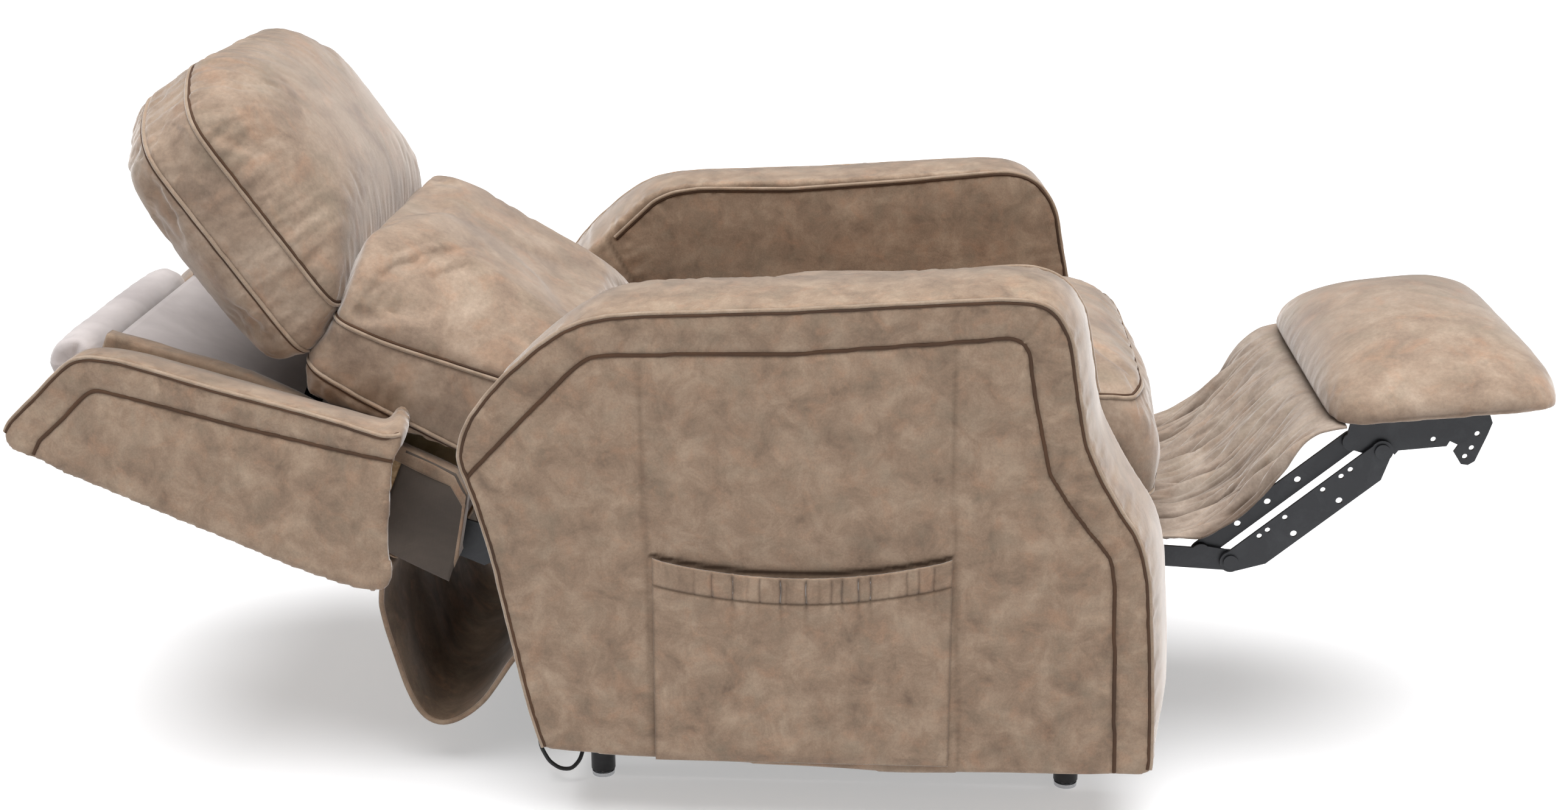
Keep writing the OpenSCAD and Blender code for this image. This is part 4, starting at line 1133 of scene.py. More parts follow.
# ---------- camera, light and floor ----------
@dataclass
class Studio:
    """The camera, the soft light and the pale floor."""
    lens: float = 50.31
    eye: tuple[float, float, float] = (-0.18581, -2.70866, 1.27587)
    ahead: tuple[float, float, float] = (-0.05106, 0.95090, -0.30526)
    right: tuple[float, float, float] = (0.99856, 0.05362, 0.0)
    up: tuple[float, float, float] = (-0.01637, 0.30482, 0.95227)
    world_light: float = 0.20
    sky_power: float = 5.1
    fill_power: float = 3.2

    def camera(self) -> None:
        """Places the camera at the chair's near front corner."""
        data = bpy.data.cameras.new("camera")
        data.lens, data.sensor_width, data.clip_end = self.lens, 36.0, 50.0
        camera = bpy.data.objects.new("camera", data)
        bpy.context.scene.collection.objects.link(camera)
        turn = Matrix([self.right, self.up, [-a for a in self.ahead]]).transposed().to_4x4()
        camera.matrix_world = Matrix.Translation(Vector(self.eye) + Vector((DATUM_X * MM, 0, 0))) @ turn
        bpy.context.scene.camera = camera

    def lamps(self) -> None:
        """Hangs a very soft light above and a weak one in front."""
        soft = bpy.data.lights.new("overhead", "SUN")
        soft.energy, soft.angle = self.sky_power, math.radians(62)
        lamp = bpy.data.objects.new("overhead", soft)
        lamp.rotation_euler = Vector((-0.04, 0.13, -1.0)).to_track_quat("-Z", "Y").to_euler()
        bpy.context.scene.collection.objects.link(lamp)
        fill = bpy.data.lights.new("fill", "AREA")
        fill.shape, fill.size, fill.energy = "DISK", 2.4, self.fill_power
        lamp = bpy.data.objects.new("fill", fill)
        lamp.location = (2.4, -2.9, 1.5)
        lamp.rotation_euler = (Vector((0.2, 0, 0.4)) - lamp.location).to_track_quat("-Z", "Y").to_euler()
        bpy.context.scene.collection.objects.link(lamp)

    def floor(self) -> None:
        """Lays a pale floor that keeps the chair's shadow."""
        bpy.ops.object.select_all(action="DESELECT")
        bpy.ops.mesh.primitive_plane_add(size=40, location=(0, 0, -0.0004))
        floor = bpy.context.view_layer.objects.active
        floor.name = "floor"
        material = bpy.data.materials.new("pale_floor")
        material.use_nodes = True
        material.node_tree.nodes.clear()
        board = NodeBoard(material.node_tree)
        paint = board.add("ShaderNodeBsdfDiffuse", {"Color": (0.66, 0.66, 0.67, 1)})
        rays = board.add("ShaderNodeLightPath")
        seen = board.math("ADD", rays.outputs["Is Camera Ray"], rays.outputs["Is Glossy Ray"])
        seen = board.math("ADD", seen, rays.outputs["Is Transmission Ray"], clamp=True)
        glow = board.add("ShaderNodeEmission",
                         {"Color": (1, 1, 1, 1), "Strength": board.math("MULTIPLY", seen, 0.42)})
        both = board.add("ShaderNodeAddShader", {0: paint.outputs[0], 1: glow.outputs[0]})
        board.add("ShaderNodeOutputMaterial", {"Surface": both.outputs[0]})
        floor.data.materials.append(material)

    def world(self) -> None:
        """Fills the room with even light."""
        world = bpy.data.worlds.new("room")
        bpy.context.scene.world = world
        world.use_nodes = True
        world.node_tree.nodes.clear()
        board = NodeBoard(world.node_tree)
        rays = board.add("ShaderNodeLightPath")
        strength = board.math("MAXIMUM", rays.outputs["Is Camera Ray"], self.world_light)
        room = board.add("ShaderNodeBackground", {"Color": (1, 1, 1, 1), "Strength": strength})
        board.add("ShaderNodeOutputWorld", {"Surface": room.outputs[0]})

    def build(self) -> None:
        """Builds the whole studio."""
        bpy.context.scene.view_settings.view_transform = "Standard"
        self.camera()
        self.lamps()
        self.floor()
        self.world()


# ---------- the lead ----------
@dataclass
class MotorLead:
    """The low-voltage lead, a loop that hangs from its clip under the chair's rear corner."""
    route: tuple[tuple[float, float, float], ...] = (
        (-606, -246, 131.7), (-606, -246, 120), (-612, -252, 104), (-618, -262, 86), (-621, -271, 66),
        (-617, -277, 46), (-607, -279, 28), (-594, -279, 18.5), (-580, -277, 17), (-570, -271, 27),
        (-566, -263, 42), (-565, -256, 58), (-565, -250, 78), (-565, -246, 100), (-565, -246, 118),
        (-565, -246, 131.7))
    radius: float = 2.5

    def build(self, wardrobe: Wardrobe) -> None:
        """Args:
            wardrobe: The finishes.
        """
        rough = softened(even(self.route, 4.0), 2)
        points = [SIDE.at(x, y, z) for x, y, z in [self.route[0], *rough[1:-1], self.route[-1]]]
        length = sum((b - a).length for a, b in zip(points, points[1:]))
        curve = bpy.data.curves.new("lead_cable", "CURVE")
        curve.dimensions = "3D"
        curve.bevel_depth = self.radius * MM
        curve.bevel_resolution = 4
        curve.use_fill_caps = True
        spline = curve.splines.new("POLY")
        spline.points.add(len(points) - 1)
        spline.points.foreach_set("co", [c for p in points for c in (*p, 1.0)])
        piece = bpy.data.objects.new("lead_cable", curve)
        bpy.context.scene.collection.objects.link(piece)
        curve.materials.append(wardrobe.rubber)
        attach(piece, "chair")
        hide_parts("motor_lead")
        tuple(points[0])
        LOG.info("the lead is %.3f m long", length)


# ---------- arms ----------
@dataclass
class Arm:
    """A padded arm: its outline, its piped panels and its crown."""
    side: int = -1
    outer: float = 390.0
    inner: float = 261.5
    outline: tuple[Pair, ...] = (
        (-597, 100), (-614, 160), (-628, 233), (-651, 354), (-672, 428), (-685, 458), (-681, 480),
        (-672, 505), (-643, 544), (-593, 591), (-566, 611), (-538, 625), (-506, 632), (-470, 635),
        (-302, 642), (-169, 651), (-76, 657), (-37, 656), (-20, 651), (-8, 640), (2, 624), (8, 610),
        (17, 555), (29, 491), (48, 449), (74, 406), (87, 388), (96, 369), (101, 349), (106, 325), (114, 220),
        (120, 92))
    foot: tuple[Pair, ...] = ((110, 85), (74, 83), (-102, 81), (-202, 81), (-338, 85), (-460, 91), (-560, 96))
    band: tuple[Pair, ...] = (
        (-672, 438), (-602, 512), (-545, 570), (-528, 582), (-500, 586), (-302, 590), (-90, 609), (-60, 612),
        (-46, 607), (-40, 595), (-33, 547), (-13, 455), (10, 418), (34, 386), (57, 358), (62, 345), (65, 320),
        (75, 86))
    inner_pipe: tuple[Pair, ...] = (
        (-582, 564), (-526, 617), (-500, 629), (-462, 635), (-335, 636), (-180, 649), (-38, 665), (-15, 665),
        (-1, 657), (14, 642), (34, 615), (59, 515))
    mitre: tuple[Pair, ...] = ((-48, 608), (-23, 641))
    panel_seams: tuple[tuple[Pair, ...], ...] = (
        ((-474, 584), (-471, 450), (-467, 300), (-463, 92)),
        ((-122, 606), (-120, 450), (-112, 250), (-106, 83)))
    inner_seam: tuple[Pair, ...] = ((-607, 590), (-591, 560), (-574, 529), (-553, 495), (-530, 470))
    voxel: float = 4.5

    @property
    def name(self) -> str:
        """Returns the arm's side as a word."""
        return "right" if self.side < 0 else "left"

    def ring(self, share: float) -> list[Vector]:
        """Returns the arm's outline at a share of its width, from outer to inner.

        Args:
            share: Share of the width, from the outer face.

        Returns:
            The outline as a closed ring of points.
        """
        base = even(self.outline, 9.0)
        floor = even([self.outline[-1], *self.foot, self.outline[0]], 12.0)[1:-1]
        base = softened(base, 3)
        profile = np.vstack([base, floor])
        bump = math.sqrt(max(0.0, 1 - (2 * share - 1) ** 2))
        y = self.side * (self.outer + (self.inner - self.outer) * share)
        out = []
        count = len(profile)
        for i, (x, z) in enumerate(profile):
            if i >= len(base):
                out.append(SIDE.at(x, y, z))
                continue
            tangent = profile[(i + 1) % count] - profile[i - 1]
            nx, nz = -tangent[1], tangent[0]
            size = math.hypot(nx, nz) or 1.0
            nx, nz = nx / size, nz / size
            low = min(1.0, max(0.0, (z - 90) / 60))
            dx = max(nx, 0) * (24 * share + 1 * bump) * low
            dz = max(nz, 0) * (7 * share + 2 * bump)
            if nx < 0 and z > 430:
                slope = min(1.0, -1.4 * nx)
                dx -= nx * 22 * share * slope
                dz -= nz * 22 * share * slope
            if nx < -0.7:
                dx += 4 * bump * low
            out.append(SIDE.at(x + dx, y, z + dz))
        return out

    def on_side(self, path: Sequence[Pair], inner: bool = False) -> Path:
        """Returns a side-view path laid on the outer or inner face."""
        y = self.side * (self.inner if inner else self.outer)
        return [SIDE.at(x, y, z) for x, z in path]

    def seams(self) -> list[Seam]:
        """Returns the arm's sewn lines, and a painted shadow line above the pocket's mouth.

        Returns:
            The seams.
        """
        # Each seam's dark value sets the painted shade along it.
        lines = [Seam(self.on_side(self.outline), depth=1.2, pucker=1.2),
                 Seam(self.on_side(self.band), depth=2.6, pucker=1.5, width=4.0),
                 Seam(self.on_side(self.mitre), depth=1.2, pucker=0.8, width=3.0, dark=0.3),
                 Seam(self.inner_path(), depth=1.2, pucker=1.1),
                 Seam(self.on_side(self.inner_seam, True), depth=1.6, pucker=1.2, width=4.0)]
        lines += [Seam(self.on_side(path), depth=0.9, pucker=0.4, width=3.0, dark=0.35)
                  for path in self.panel_seams]
        # The pocket's mouth: a shallow groove on the arm just above the pocket's top edge, with a strong
        # painted shadow line where the opening's shadow falls.
        pocket = SidePocket(self.side)
        mouth = [(pocket.left_x + (pocket.right_x - pocket.left_x) * k / 24, pocket.top(k / 24) + 2.0)
                 for k in range(25)]
        lines.append(Seam(self.on_side(mouth), depth=1.2, pucker=0.3, width=4.0, dark=1.5))
        return lines

    def inner_path(self) -> Path:
        """Returns the piping of the inner edge, on down the front."""
        return self.on_side(self.inner_pipe, True)

    def face_share(self, place: Vector, normal: Vector) -> float:
        """Returns how far the padding may swell there, less on the flat faces and below.

        Args:
            place: A point of the cover.
            normal: The way that it faces.

        Returns:
            The share, from 0 to 1.
        """
        if place.z < 0.10 or normal.z < -0.6:
            return 0.0
        if abs(normal.y) > 0.7:
            low = min(1.0, (place.z - 0.10) / 0.12)
            seat = abs(place.y) < 0.3 and place.z < 0.50
            return 0.0 if seat else 1.0 * low
        return 1.0

    def build(self, wardrobe: Wardrobe) -> bpy.types.Object:
        """Builds the arm's cover with its piping.

        Args:
            wardrobe: The finishes.

        Returns:
            The padded cover.
        """
        stations = [0.0, 0.02, 0.06, 0.14, 0.25, 0.37, 0.5, 0.63, 0.75, 0.86, 0.94, 0.98, 1.0]
        name = f"{self.name}_arm"
        body = ring_solid(f"{name}_padding", [self.ring(s) for s in stations])
        remeshed(body, self.voxel, 3)
        Padding(puff=5.0, reach=34, crease=1.5, wave=2.0, wave_step=140, seed=2.0 + self.side,
                share=self.face_share).sew(body, self.seams())
        shade_smooth(body)
        dress(body, "chair", wardrobe.suede, Slot.SUEDE_ARMS, [f"{self.name}_arm_cover"], 0.7)
        centre = SIDE.at(-250, self.side * self.outer, 380)
        runs = [(self.on_side(self.outline), False, centre),
                (self.inner_path(), False, SIDE.at(-300, self.side * self.inner, 400))]
        # The cord's dark tube is painted shade in the crevice beside the piping; the band's dark line is
        # partly a dark cord, partly painted groove shade.
        cord, seam = Cording(2.5, 1.9).laid(f"{name}_piping", body, runs, 0.9)
        dress(cord, "chair", wardrobe.cord, Slot.SUEDE_ARMS)
        dress(seam, "chair", wardrobe.seam_line, Slot.SUEDE_ARMS)
        line = sunk_cord_and_shade(f"{name}_band", body, [(self.on_side(self.band), False)], 2.5)
        dress(line, "chair", wardrobe.seam_line, Slot.SUEDE_ARMS)
        return body


# ---------- back ----------
@dataclass
class Wing:
    """A padded wing of the back: its outline on the turned outer face, and its piped panel."""
    side: int = -1
    width: float = 102.0
    turn_s: float = 190.0
    outline: tuple[Pair, ...] = (
        (650, -214), (647, -200), (625, -152), (612, -121), (598, -92), (580, -78), (541, -66), (488, -57),
        (426, -47), (335, -29), (275, -18), (213, -10), (199, -1), (196, 8), (194, -4), (194, -29),
        (190, -64), (176, -112), (165, -145), (151, -158), (147, -175), (153, -190), (200, -199), (262, -206),
        (405, -215), (598, -228), (628, -231), (641, -228))
    band: tuple[Pair, ...] = (
        (604, -224), (602, -205), (584, -167), (566, -124), (556, -113), (522, -106), (373, -76), (256, -50),
        (200, -36), (192, -34))
    crown: float = 6.0
    front_cut: float = 30.0
    voxel: float = 4.0

    @property
    def name(self) -> str:
        """Returns the wing's side as a word."""
        return "right" if self.side < 0 else "left"

    def at(self, along: float, out: float, off: float) -> Vector:
        """Returns a point of the turned wing: along it, outwards across it, and off its base.

        Args:
            along: Place along the frame, in millimetres.
            out: Height across the wing's face.
            off: Depth behind its face.

        Returns:
            The point, in metres.
        """
        run, turn = along - self.turn_s, math.radians(8.0)
        y = -246.6 + run * math.sin(turn) - out * math.cos(turn)
        return BACK.at(self.turn_s + run * math.cos(turn) + out * math.sin(turn), -self.side * y, off)

    def ring(self, share: float) -> list[Vector]:
        """Returns the wing's outline at a share of its width, from inner to outer.

        Args:
            share: Share of the width, from the inner face.

        Returns:
            The outline as a closed ring of points.
        """
        path = softened(even(self.outline, 8.0, True), 3, True)
        bump = math.sqrt(max(0.0, 1 - (2 * share - 1) ** 2))
        middle = np.array([400.0, -125.0])
        out = []
        count = len(path)
        for i, p in enumerate(path):
            tangent = path[(i + 1) % count] - path[i - 1]
            normal = np.array([tangent[1], -tangent[0]])
            normal /= np.linalg.norm(normal) or 1.0
            if normal.dot(p - middle) < 0:
                normal = -normal
            top = max(0.0, normal[1])
            q = p + normal * self.crown * bump * (0.4 + 0.6 * top) * min(1.0, max(0.0, (p[1] + 215) / 60))
            q = q + np.array([0.0, -27.0]) * (1 - share) * top
            front = min(1.0, max(0.0, (262 - p[0]) / 62))
            q[0] += front * self.front_cut * (1 - share)
            open_end = min(1.0, max(0.0, (-p[1] - 26) / 14)) * min(1.0, max(0.0, (0.93 - share) / 0.03))
            q[0] += front ** 2 * open_end * 26
            out.append(self.at(q[0], share * self.width, q[1]))
        return out

    def on_face(self, path: Sequence[Pair]) -> Path:
        """Returns a path on the outer face."""
        return [self.at(a, self.width, t) for a, t in path]

    def seams(self) -> list[Seam]:
        """Returns the wing's sewn lines."""
        return [Seam(self.on_face(self.piped), False, 1.2, 1.2),
                Seam(self.on_face(self.band), False, 2.6, 1.6, 4.0)]

    @property
    def piped(self) -> tuple[Pair, ...]:
        """Returns the piped part of the outline, from the tip to the front corner."""
        return self.outline[:14]

    def build(self, wardrobe: Wardrobe) -> bpy.types.Object:
        """Builds the wing with its piping.

        Args:
            wardrobe: The finishes.

        Returns:
            The padded cover.
        """
        name = f"{self.name}_wing"
        body = ring_solid(f"{name}_padding",
                          [self.ring(s) for s in (0, 0.03, 0.1, 0.22, 0.36, 0.5, 0.64, 0.78, 0.88, 0.915,
                                                  0.935, 0.97, 1.0)])
        remeshed(body, self.voxel, 3)
        Padding(puff=4.5, reach=30, crease=1.6, wave=1.8, wave_step=120,
                seed=11.0 + self.side).sew(body, self.seams())
        dress(body, "back", wardrobe.suede, Slot.SUEDE_ARMS, [name], 0.7)
        centre = self.at(400, self.width, -130)
        # The cord's dark tube is painted shade in the crevice beside the piping; the band's dark line is
        # partly a dark cord, partly painted groove shade.
        cord, seam = Cording(2.4, 1.8).laid(f"{name}_piping", body,
                                            [(self.on_face(self.piped), False, centre)], 0.9)
        dress(cord, "back", wardrobe.cord, Slot.SUEDE_ARMS)
        dress(seam, "back", wardrobe.seam_line, Slot.SUEDE_ARMS)
        line = sunk_cord_and_shade(f"{name}_band", body, [(self.on_face(self.band), False)], 2.5)
        dress(line, "back", wardrobe.seam_line, Slot.SUEDE_ARMS)
        return body


@dataclass
class BackShell:
    """What closes the back: lining, rear cover, top rail pad, dust cloths, webbing and foam."""
    lining_off: float = -104.0
    rear_off: float = -187.0
    rail_radius: float = 32.0

    def lining(self, wardrobe: Wardrobe) -> None:
        """Stretches the lining over the boards behind the cushions.

        Args:
            wardrobe: The finishes.
        """
        def surface(u: float, v: float) -> Vector:
            """Returns the lining's point at two shares.

            Args:
                u: Share along the cloth.
                v: Share across the cloth.

            Returns:
                The point, in metres.
            """
            along = 112 + (599 - 112) * u
            half = BOARD_Y - 20 - taper_in(along)
            y = half * (2 * v - 1)
            sag = -3.0 * math.sin(math.pi * u) * (1 - (2 * v - 1) ** 2)
            edge = max(0.0, abs(2 * v - 1) - 0.86) / 0.14
            fold = 1.6 * math.sin(u * 46 + 3 * math.sin(u * 9)) * edge
            return BACK.at(along, y, self.lining_off - 1.5 + sag + fold)
        piece = sheet_piece("back_lining_cloth", surface, 70, 60, 0.0024)
        dress(piece, "back", wardrobe.lining, Slot.LINING_CLOTH, ["back_lining"])

    def rear(self, wardrobe: Wardrobe) -> None:
        """Pads the rear cover between the wings.

        Args:
            wardrobe: The finishes.
        """
        def ring(along: float) -> list[Vector]:
            """Returns the cover's section at one height.

            Args:
                along: Place along the frame, in millimetres.

            Returns:
                The section as a closed ring of points.
            """
            half = BOARD_Y - taper_in(along)
            thick = 6 + 20 * max(0.0, (along - 205) / (642 - 205))
            out = []
            for i in range(64):
                t = 2 * math.pi * i / 64
                y = half * math.copysign(abs(math.cos(t)) ** 0.25, math.cos(t))
                off = math.copysign(abs(math.sin(t)) ** 0.5, math.sin(t))
                out.append(BACK.at(along, y, self.rear_off - 1 - thick / 2 + off * thick / 2))
            return out
        body = ring_solid("back_cover_padding",
                          [ring(s) for s in (168, 172, 190, 215, 300, 400, 500, 580, 615, 630, 634)])
        shade_smooth(body)
        applied(body, "SUBSURF", levels=1, render_levels=1)
        edges = [Seam([BACK.at(s, k * (BOARD_Y - taper_in(s) - 8), self.rear_off - 20)
                       for s in (180, 400, 630)]) for k in (-1, 1)]
        Padding(puff=1.0, reach=40, crease=0.8, wave=1.2, seed=21).sew(body, edges)
        dress(body, "back", wardrobe.suede, Slot.SUEDE_ARMS, ["back_cover"], 0.5)

    def top_pad(self, wardrobe: Wardrobe) -> None:
        """Wraps the top rail in a padded roll.

        Args:
            wardrobe: The finishes.
        """
        half = BOARD_Y - taper_in(598) - 6
        rings = []
        for k in range(41):
            share = k / 20 - 1
            r = self.rail_radius * (1 - 0.10 * abs(share) ** 6) + 0.7 * math.sin(k * 1.9)
            rings.append([BACK.at(598 + self.rail_radius + 0.6 + r * math.cos(2 * math.pi * i / 48) * 0.98,
                                  half * share,
                                  -142 + r * math.sin(2 * math.pi * i / 48)) for i in range(48)])
        body = ring_solid("top_rail_padding", rings)
        shade_smooth(body)
        applied(body, "SUBSURF", levels=1, render_levels=1)
        ends = [Seam([BACK.at(598 + self.rail_radius, k * half, -142 + t) for t in (-30, 0, 30)])
                for k in (-1, 1)]
        Padding(puff=0.5, reach=40, crease=1.5, crease_step=16, crease_reach=60, wave=1.2,
                seed=27).sew(body, ends)
        dress(body, "back", wardrobe.lining, Slot.LINING_CLOTH, ["top_rail_pad"], 0.6)

    def side_cloths(self, wardrobe: Wardrobe) -> None:
        """Hangs the dark cloth over the side boards' feet.

        Args:
            wardrobe: The finishes.
        """
        for side in (-1, 1):
            def surface(u: float, v: float) -> Vector:
                """Returns the cloth's point at two shares.

                Args:
                    u: Share along the cloth.
                    v: Share across the cloth.

                Returns:
                    The point, in metres.
                """
                low = -188 + u * 132
                start = np.interp(low, [-188, -150, -76, -56], [101, 103.5, 118.5, 141])
                along = start + (207 - start) * v
                y = BOARD_Y + 1.1 - taper_in(along) + 0.5 * math.sin(9 * u + 5 * v)
                return BACK.at(along, side * y, low)
            piece = sheet_piece(f"{'right' if side < 0 else 'left'}_side_cloth", surface, 40, 20, 0.0010)
            dress(piece, "back", wardrobe.dust, Slot.DUST_CLOTH, ["side_dust_cloths"])
            self.edge_cloth(side, wardrobe)

    def edge_cloth(self, side: int, wardrobe: Wardrobe) -> None:
        """Wraps the cover over a side board's upper and lower edges, down to the lining.

        Args:
            side: -1 for the right side, 1 for the left.
            wardrobe: The finishes.
        """
        def surface(u: float, v: float) -> Vector:
            """Returns the cloth's point at two shares.

            Args:
                u: Share along the cloth.
                v: Share across the cloth.

            Returns:
                The point, in metres.
            """
            along = 101.2 + (600 - 101.2) * u
            face = BOARD_Y - taper_in(along)
            edge = float(np.interp(along, [103, 119, 142, 420, 610], [-152, -76, -58, -58, -90]))
            section = [
                (face + 1.4, edge - 16), (face + 1.6, edge - 2), (face - 0.5, edge + 1.6),
                (face - 10, edge + 2.4), (face - 20.4, edge + 1.6), (face - 21.6, edge - 2),
                (face - 21.8, min(edge - 6, -104))]
            y, off = path_at(even(section, 2.0), v)
            return BACK.at(along, side * y, off + 0.6 * math.sin(31 * u + 9 * v))
        piece = sheet_piece(f"{'right' if side < 0 else 'left'}_edge_cloth", surface, 160, 30, 0.0014)
        dress(piece, "back", wardrobe.suede, Slot.SUEDE_CLOTH)

    def straps(self, wardrobe: Wardrobe) -> None:
        """Stretches the webbing across the back's boards.

        Args:
            wardrobe: The finishes.
        """
        for number, start in enumerate((215, 262, 400, 450, 500)):
            def surface(u: float, v: float) -> Vector:
                """Returns the web's point at two shares.

                Args:
                    u: Share along the cloth.
                    v: Share across the cloth.

                Returns:
                    The point, in metres.
                """
                along = start + 40 * v
                half = BOARD_Y - 20.5 - taper_in(start + 20)
                return BACK.at(along, half * (2 * u - 1), -133 - 1.0 * math.sin(math.pi * u))
            piece = sheet_piece(f"web_{number + 1}", surface, 60, 8, 0.0018)
            dress(piece, "back", wardrobe.webbing, Slot.DUST_CLOTH, ["back_webbing"])

    def foam(self, wardrobe: Wardrobe) -> None:
        """Fills the space behind the lumbar cushion.

        Args:
            wardrobe: The finishes.
        """
        rings = []
        for off, grow in ((-103.4, 0.97), (-101, 1), (-70, 0.99), (-40, 1), (-33, 1), (-30.8, 0.97)):
            rings.append([BACK.at(203.5 + p[0] * grow, p[1] * grow, off)
                          for p in cushion_ring(95.5, 185, 72, 9)])
        body = ring_solid("lumbar_foam_block", rings)
        shade_smooth(body)
        dress(body, "back", wardrobe.foam, Slot.FOAM, ["lumbar_foam"], 0.9)

    def build(self, wardrobe: Wardrobe) -> None:
        """Builds every part of the shell."""
        for step in (self.lining, self.rear, self.top_pad, self.side_cloths, self.straps, self.foam):
            step(wardrobe)


# ---------- cushions ----------
@dataclass
class Cushion:
    """A boxed cushion: its levels in its frame, its seams, and its cloth's behaviour."""
    name: str
    body: str
    stands_for: str
    voxel: float = 7.0
    pressure: float = 4.0
    cap: float = 14.0
    hold: float = 12.0
    padding: Padding = field(default_factory=Padding)
    pipe: float = 2.6
    fill: float = 0.7

    def rings(self) -> list[list[Vector]]:
        """Returns the cushion's levels as rings of points."""
        raise NotImplementedError

    def piped(self) -> list[tuple[Path, bool, Vector]]:
        """Returns the piped seams, each with a point on its stitched side."""
        return []

    def plain(self) -> list[Seam]:
        """Returns the seams without piping."""
        return []

    def build(self, wardrobe: Wardrobe) -> bpy.types.Object:
        """Builds, swells, sews and dresses the cushion.

        Args:
            wardrobe: The finishes.

        Returns:
            The padded piece.
        """
        body = ring_solid(f"{self.name}_padding", self.rings())
        remeshed(body, self.voxel, 3)
        piped = self.piped()
        seams = [Seam(path, closed, 2.0, 1.3, 6.0) for path, closed, _ in piped] + self.plain()
        swell(body, seams, self.pressure, self.cap, hold=self.hold)
        applied(body, "SUBSURF", levels=1, render_levels=1)
        self.padding.sew(body, seams)
        shade_smooth(body)
        dress(body, self.body, wardrobe.suede_soft, Slot.SUEDE_CUSHION, [self.stands_for], self.fill)
        if piped:
            # The cord's dark tube is painted shade in the crevice beside the piping.
            cord, seam = Cording(self.pipe, 1.8).laid(f"{self.name}_piping", body, piped, 1.0)
            dress(cord, self.body, wardrobe.cord, Slot.SUEDE_CUSHION)
            dress(seam, self.body, wardrobe.seam_line, Slot.SUEDE_CUSHION)
        return body


@dataclass
class SeatCushion(Cushion):
    """The seat: a piped top, a front band and a crown."""
    half: float = 252.0
    rear: float = -404.0
    bow: float = 12.0
    piping_z: float = 487.3

    def rings(self) -> list[list[Vector]]:
        """Returns the seat's levels from its foot to its crown.

        Returns:
            One ring of points for each level.
        """
        z, top = SEAT_Z, self.piping_z
        levels = [
            (z, -340, 8, 0.5), (z + 0.6, -484, 126, 0.95), (z + 6, -489, 138, 0.985), (z + 16, -490, 143, 1),
            (z + 40, -482, 143, 0.99), (z + 56, -452, 142, 0.985), (z + 74, -424, 140, 0.985),
            (top - 22, -408, 133, 0.99), (top - 8, -404, 124, 1), (top + 2, -403, 117, 1)]
        for k, a, b in ((0.99, 6, 33), (0.95, 16, 38), (0.88, 36, 49), (0.74, 90, 84), (0.5, 180, 180),
                        (0.22, 250, 250)):
            levels.append((top + 60 * (1 - k ** 4) ** 0.6, self.rear + a, 147 - b, k))
        return [[SIDE.at(r + (f - self.bow * p[1] ** 2 - r) * (p[0] + 1) / 2, p[1] * self.half * w, h)
                 for p in cushion_ring(1, 1, 120, 13)] for h, r, f, w in levels]

    def top_path(self) -> Path:
        """Returns the top piping, which rises towards the front corners.

        Returns:
            The path, in metres.
        """
        out = []
        for x, y in even(rounded([(114, -250, 22), (114, 250, 22), (-400, 250, 30), (-400, -250, 30)], 8),
                         10.0, True):
            side = abs(y) / 250
            front = max(0.0, (x + 100) / 225)
            out.append(SIDE.at(x - 4 * side ** 2 * front, y, 494 + 16 * side ** 3 * front))
        return out

    def low_path(self) -> Path:
        """Returns the lower front piping."""
        return [SIDE.at(151 - self.bow * (y / 250) ** 2 - 12 * (abs(y) / 250) ** 8, y,
                        372 - 8 * (y / 250) ** 2) for y in range(-246, 247, 12)]

    def piped(self) -> list[tuple[Path, bool, Vector]]:
        """Returns the seat's piped seams."""
        return [(self.top_path(), True, SIDE.at(-140, 0, 540)),
                (self.low_path(), False, SIDE.at(158, 0, 420))]


@dataclass
class LumbarCushion(Cushion):
    """The lumbar cushion, whose crown leans towards the head."""
    half: float = 251.0
    crown: float = 86.0

    def rings(self) -> list[list[Vector]]:
        """Returns the cushion's levels from its rear to its crown.

        Returns:
            One ring of points for each level.
        """
        levels = [
            (0.5, -52), (0.88, -50), (0.955, -44), (0.99, -33), (0.985, -5), (0.985, 30), (1, 56), (1, 62)]
        for k in (0.985, 0.955, 0.91, 0.84, 0.75, 0.62, 0.46, 0.25):
            levels.append((k, 62 + self.crown * (1 - k ** 6) ** 0.45))
        return [self.level(k, off) for k, off in levels]

    def level(self, k: float, off: float) -> list[Vector]:
        """Returns one level: its share of the outline and its height off the back.

        Args:
            k: Share of the outline's size, 1 at the piped edge.
            off: Height off the frame, in millimetres.

        Returns:
            A closed ring of points.
        """
        out = []
        for x, y in cushion_ring(1.0, 1.0, 160, 14):
            far = (364 - 0.25 * max(off, 0.0) if off < 64 else 348 + 0.004 * max(0.0, off - 90) ** 2) - 169.5
            along = 169.5 + x * (far if x > 0 else 147.5) * (k ** 0.13 if x > 0 and off > 64 else k)
            rise = 0.26 * x * max(0.0, off - 62) + (min(15.0, 0.0026 * max(0.0, 225 - along) ** 2)
                                                    if 40 < off < 64 else 0.0)
            rear = 26 * max(0.0, along - 155) / 178 * min(1.0, max(0.0, (30 - off) / 60))
            if off < -36:
                rear = 18 * min(1.0, max(0.0, 200 - along) / 80)
            out.append(BACK.at(along, y * self.half * k, off + rise + rear))
        return out

    def piped(self) -> list[tuple[Path, bool, Vector]]:
        """Returns the piping round the front panel and round the rear."""
        return [(self.level(1.0, 62), True, BACK.at(180, 0, 160)),
                (self.level(0.99, -34), True, BACK.at(180, 0, -70))]


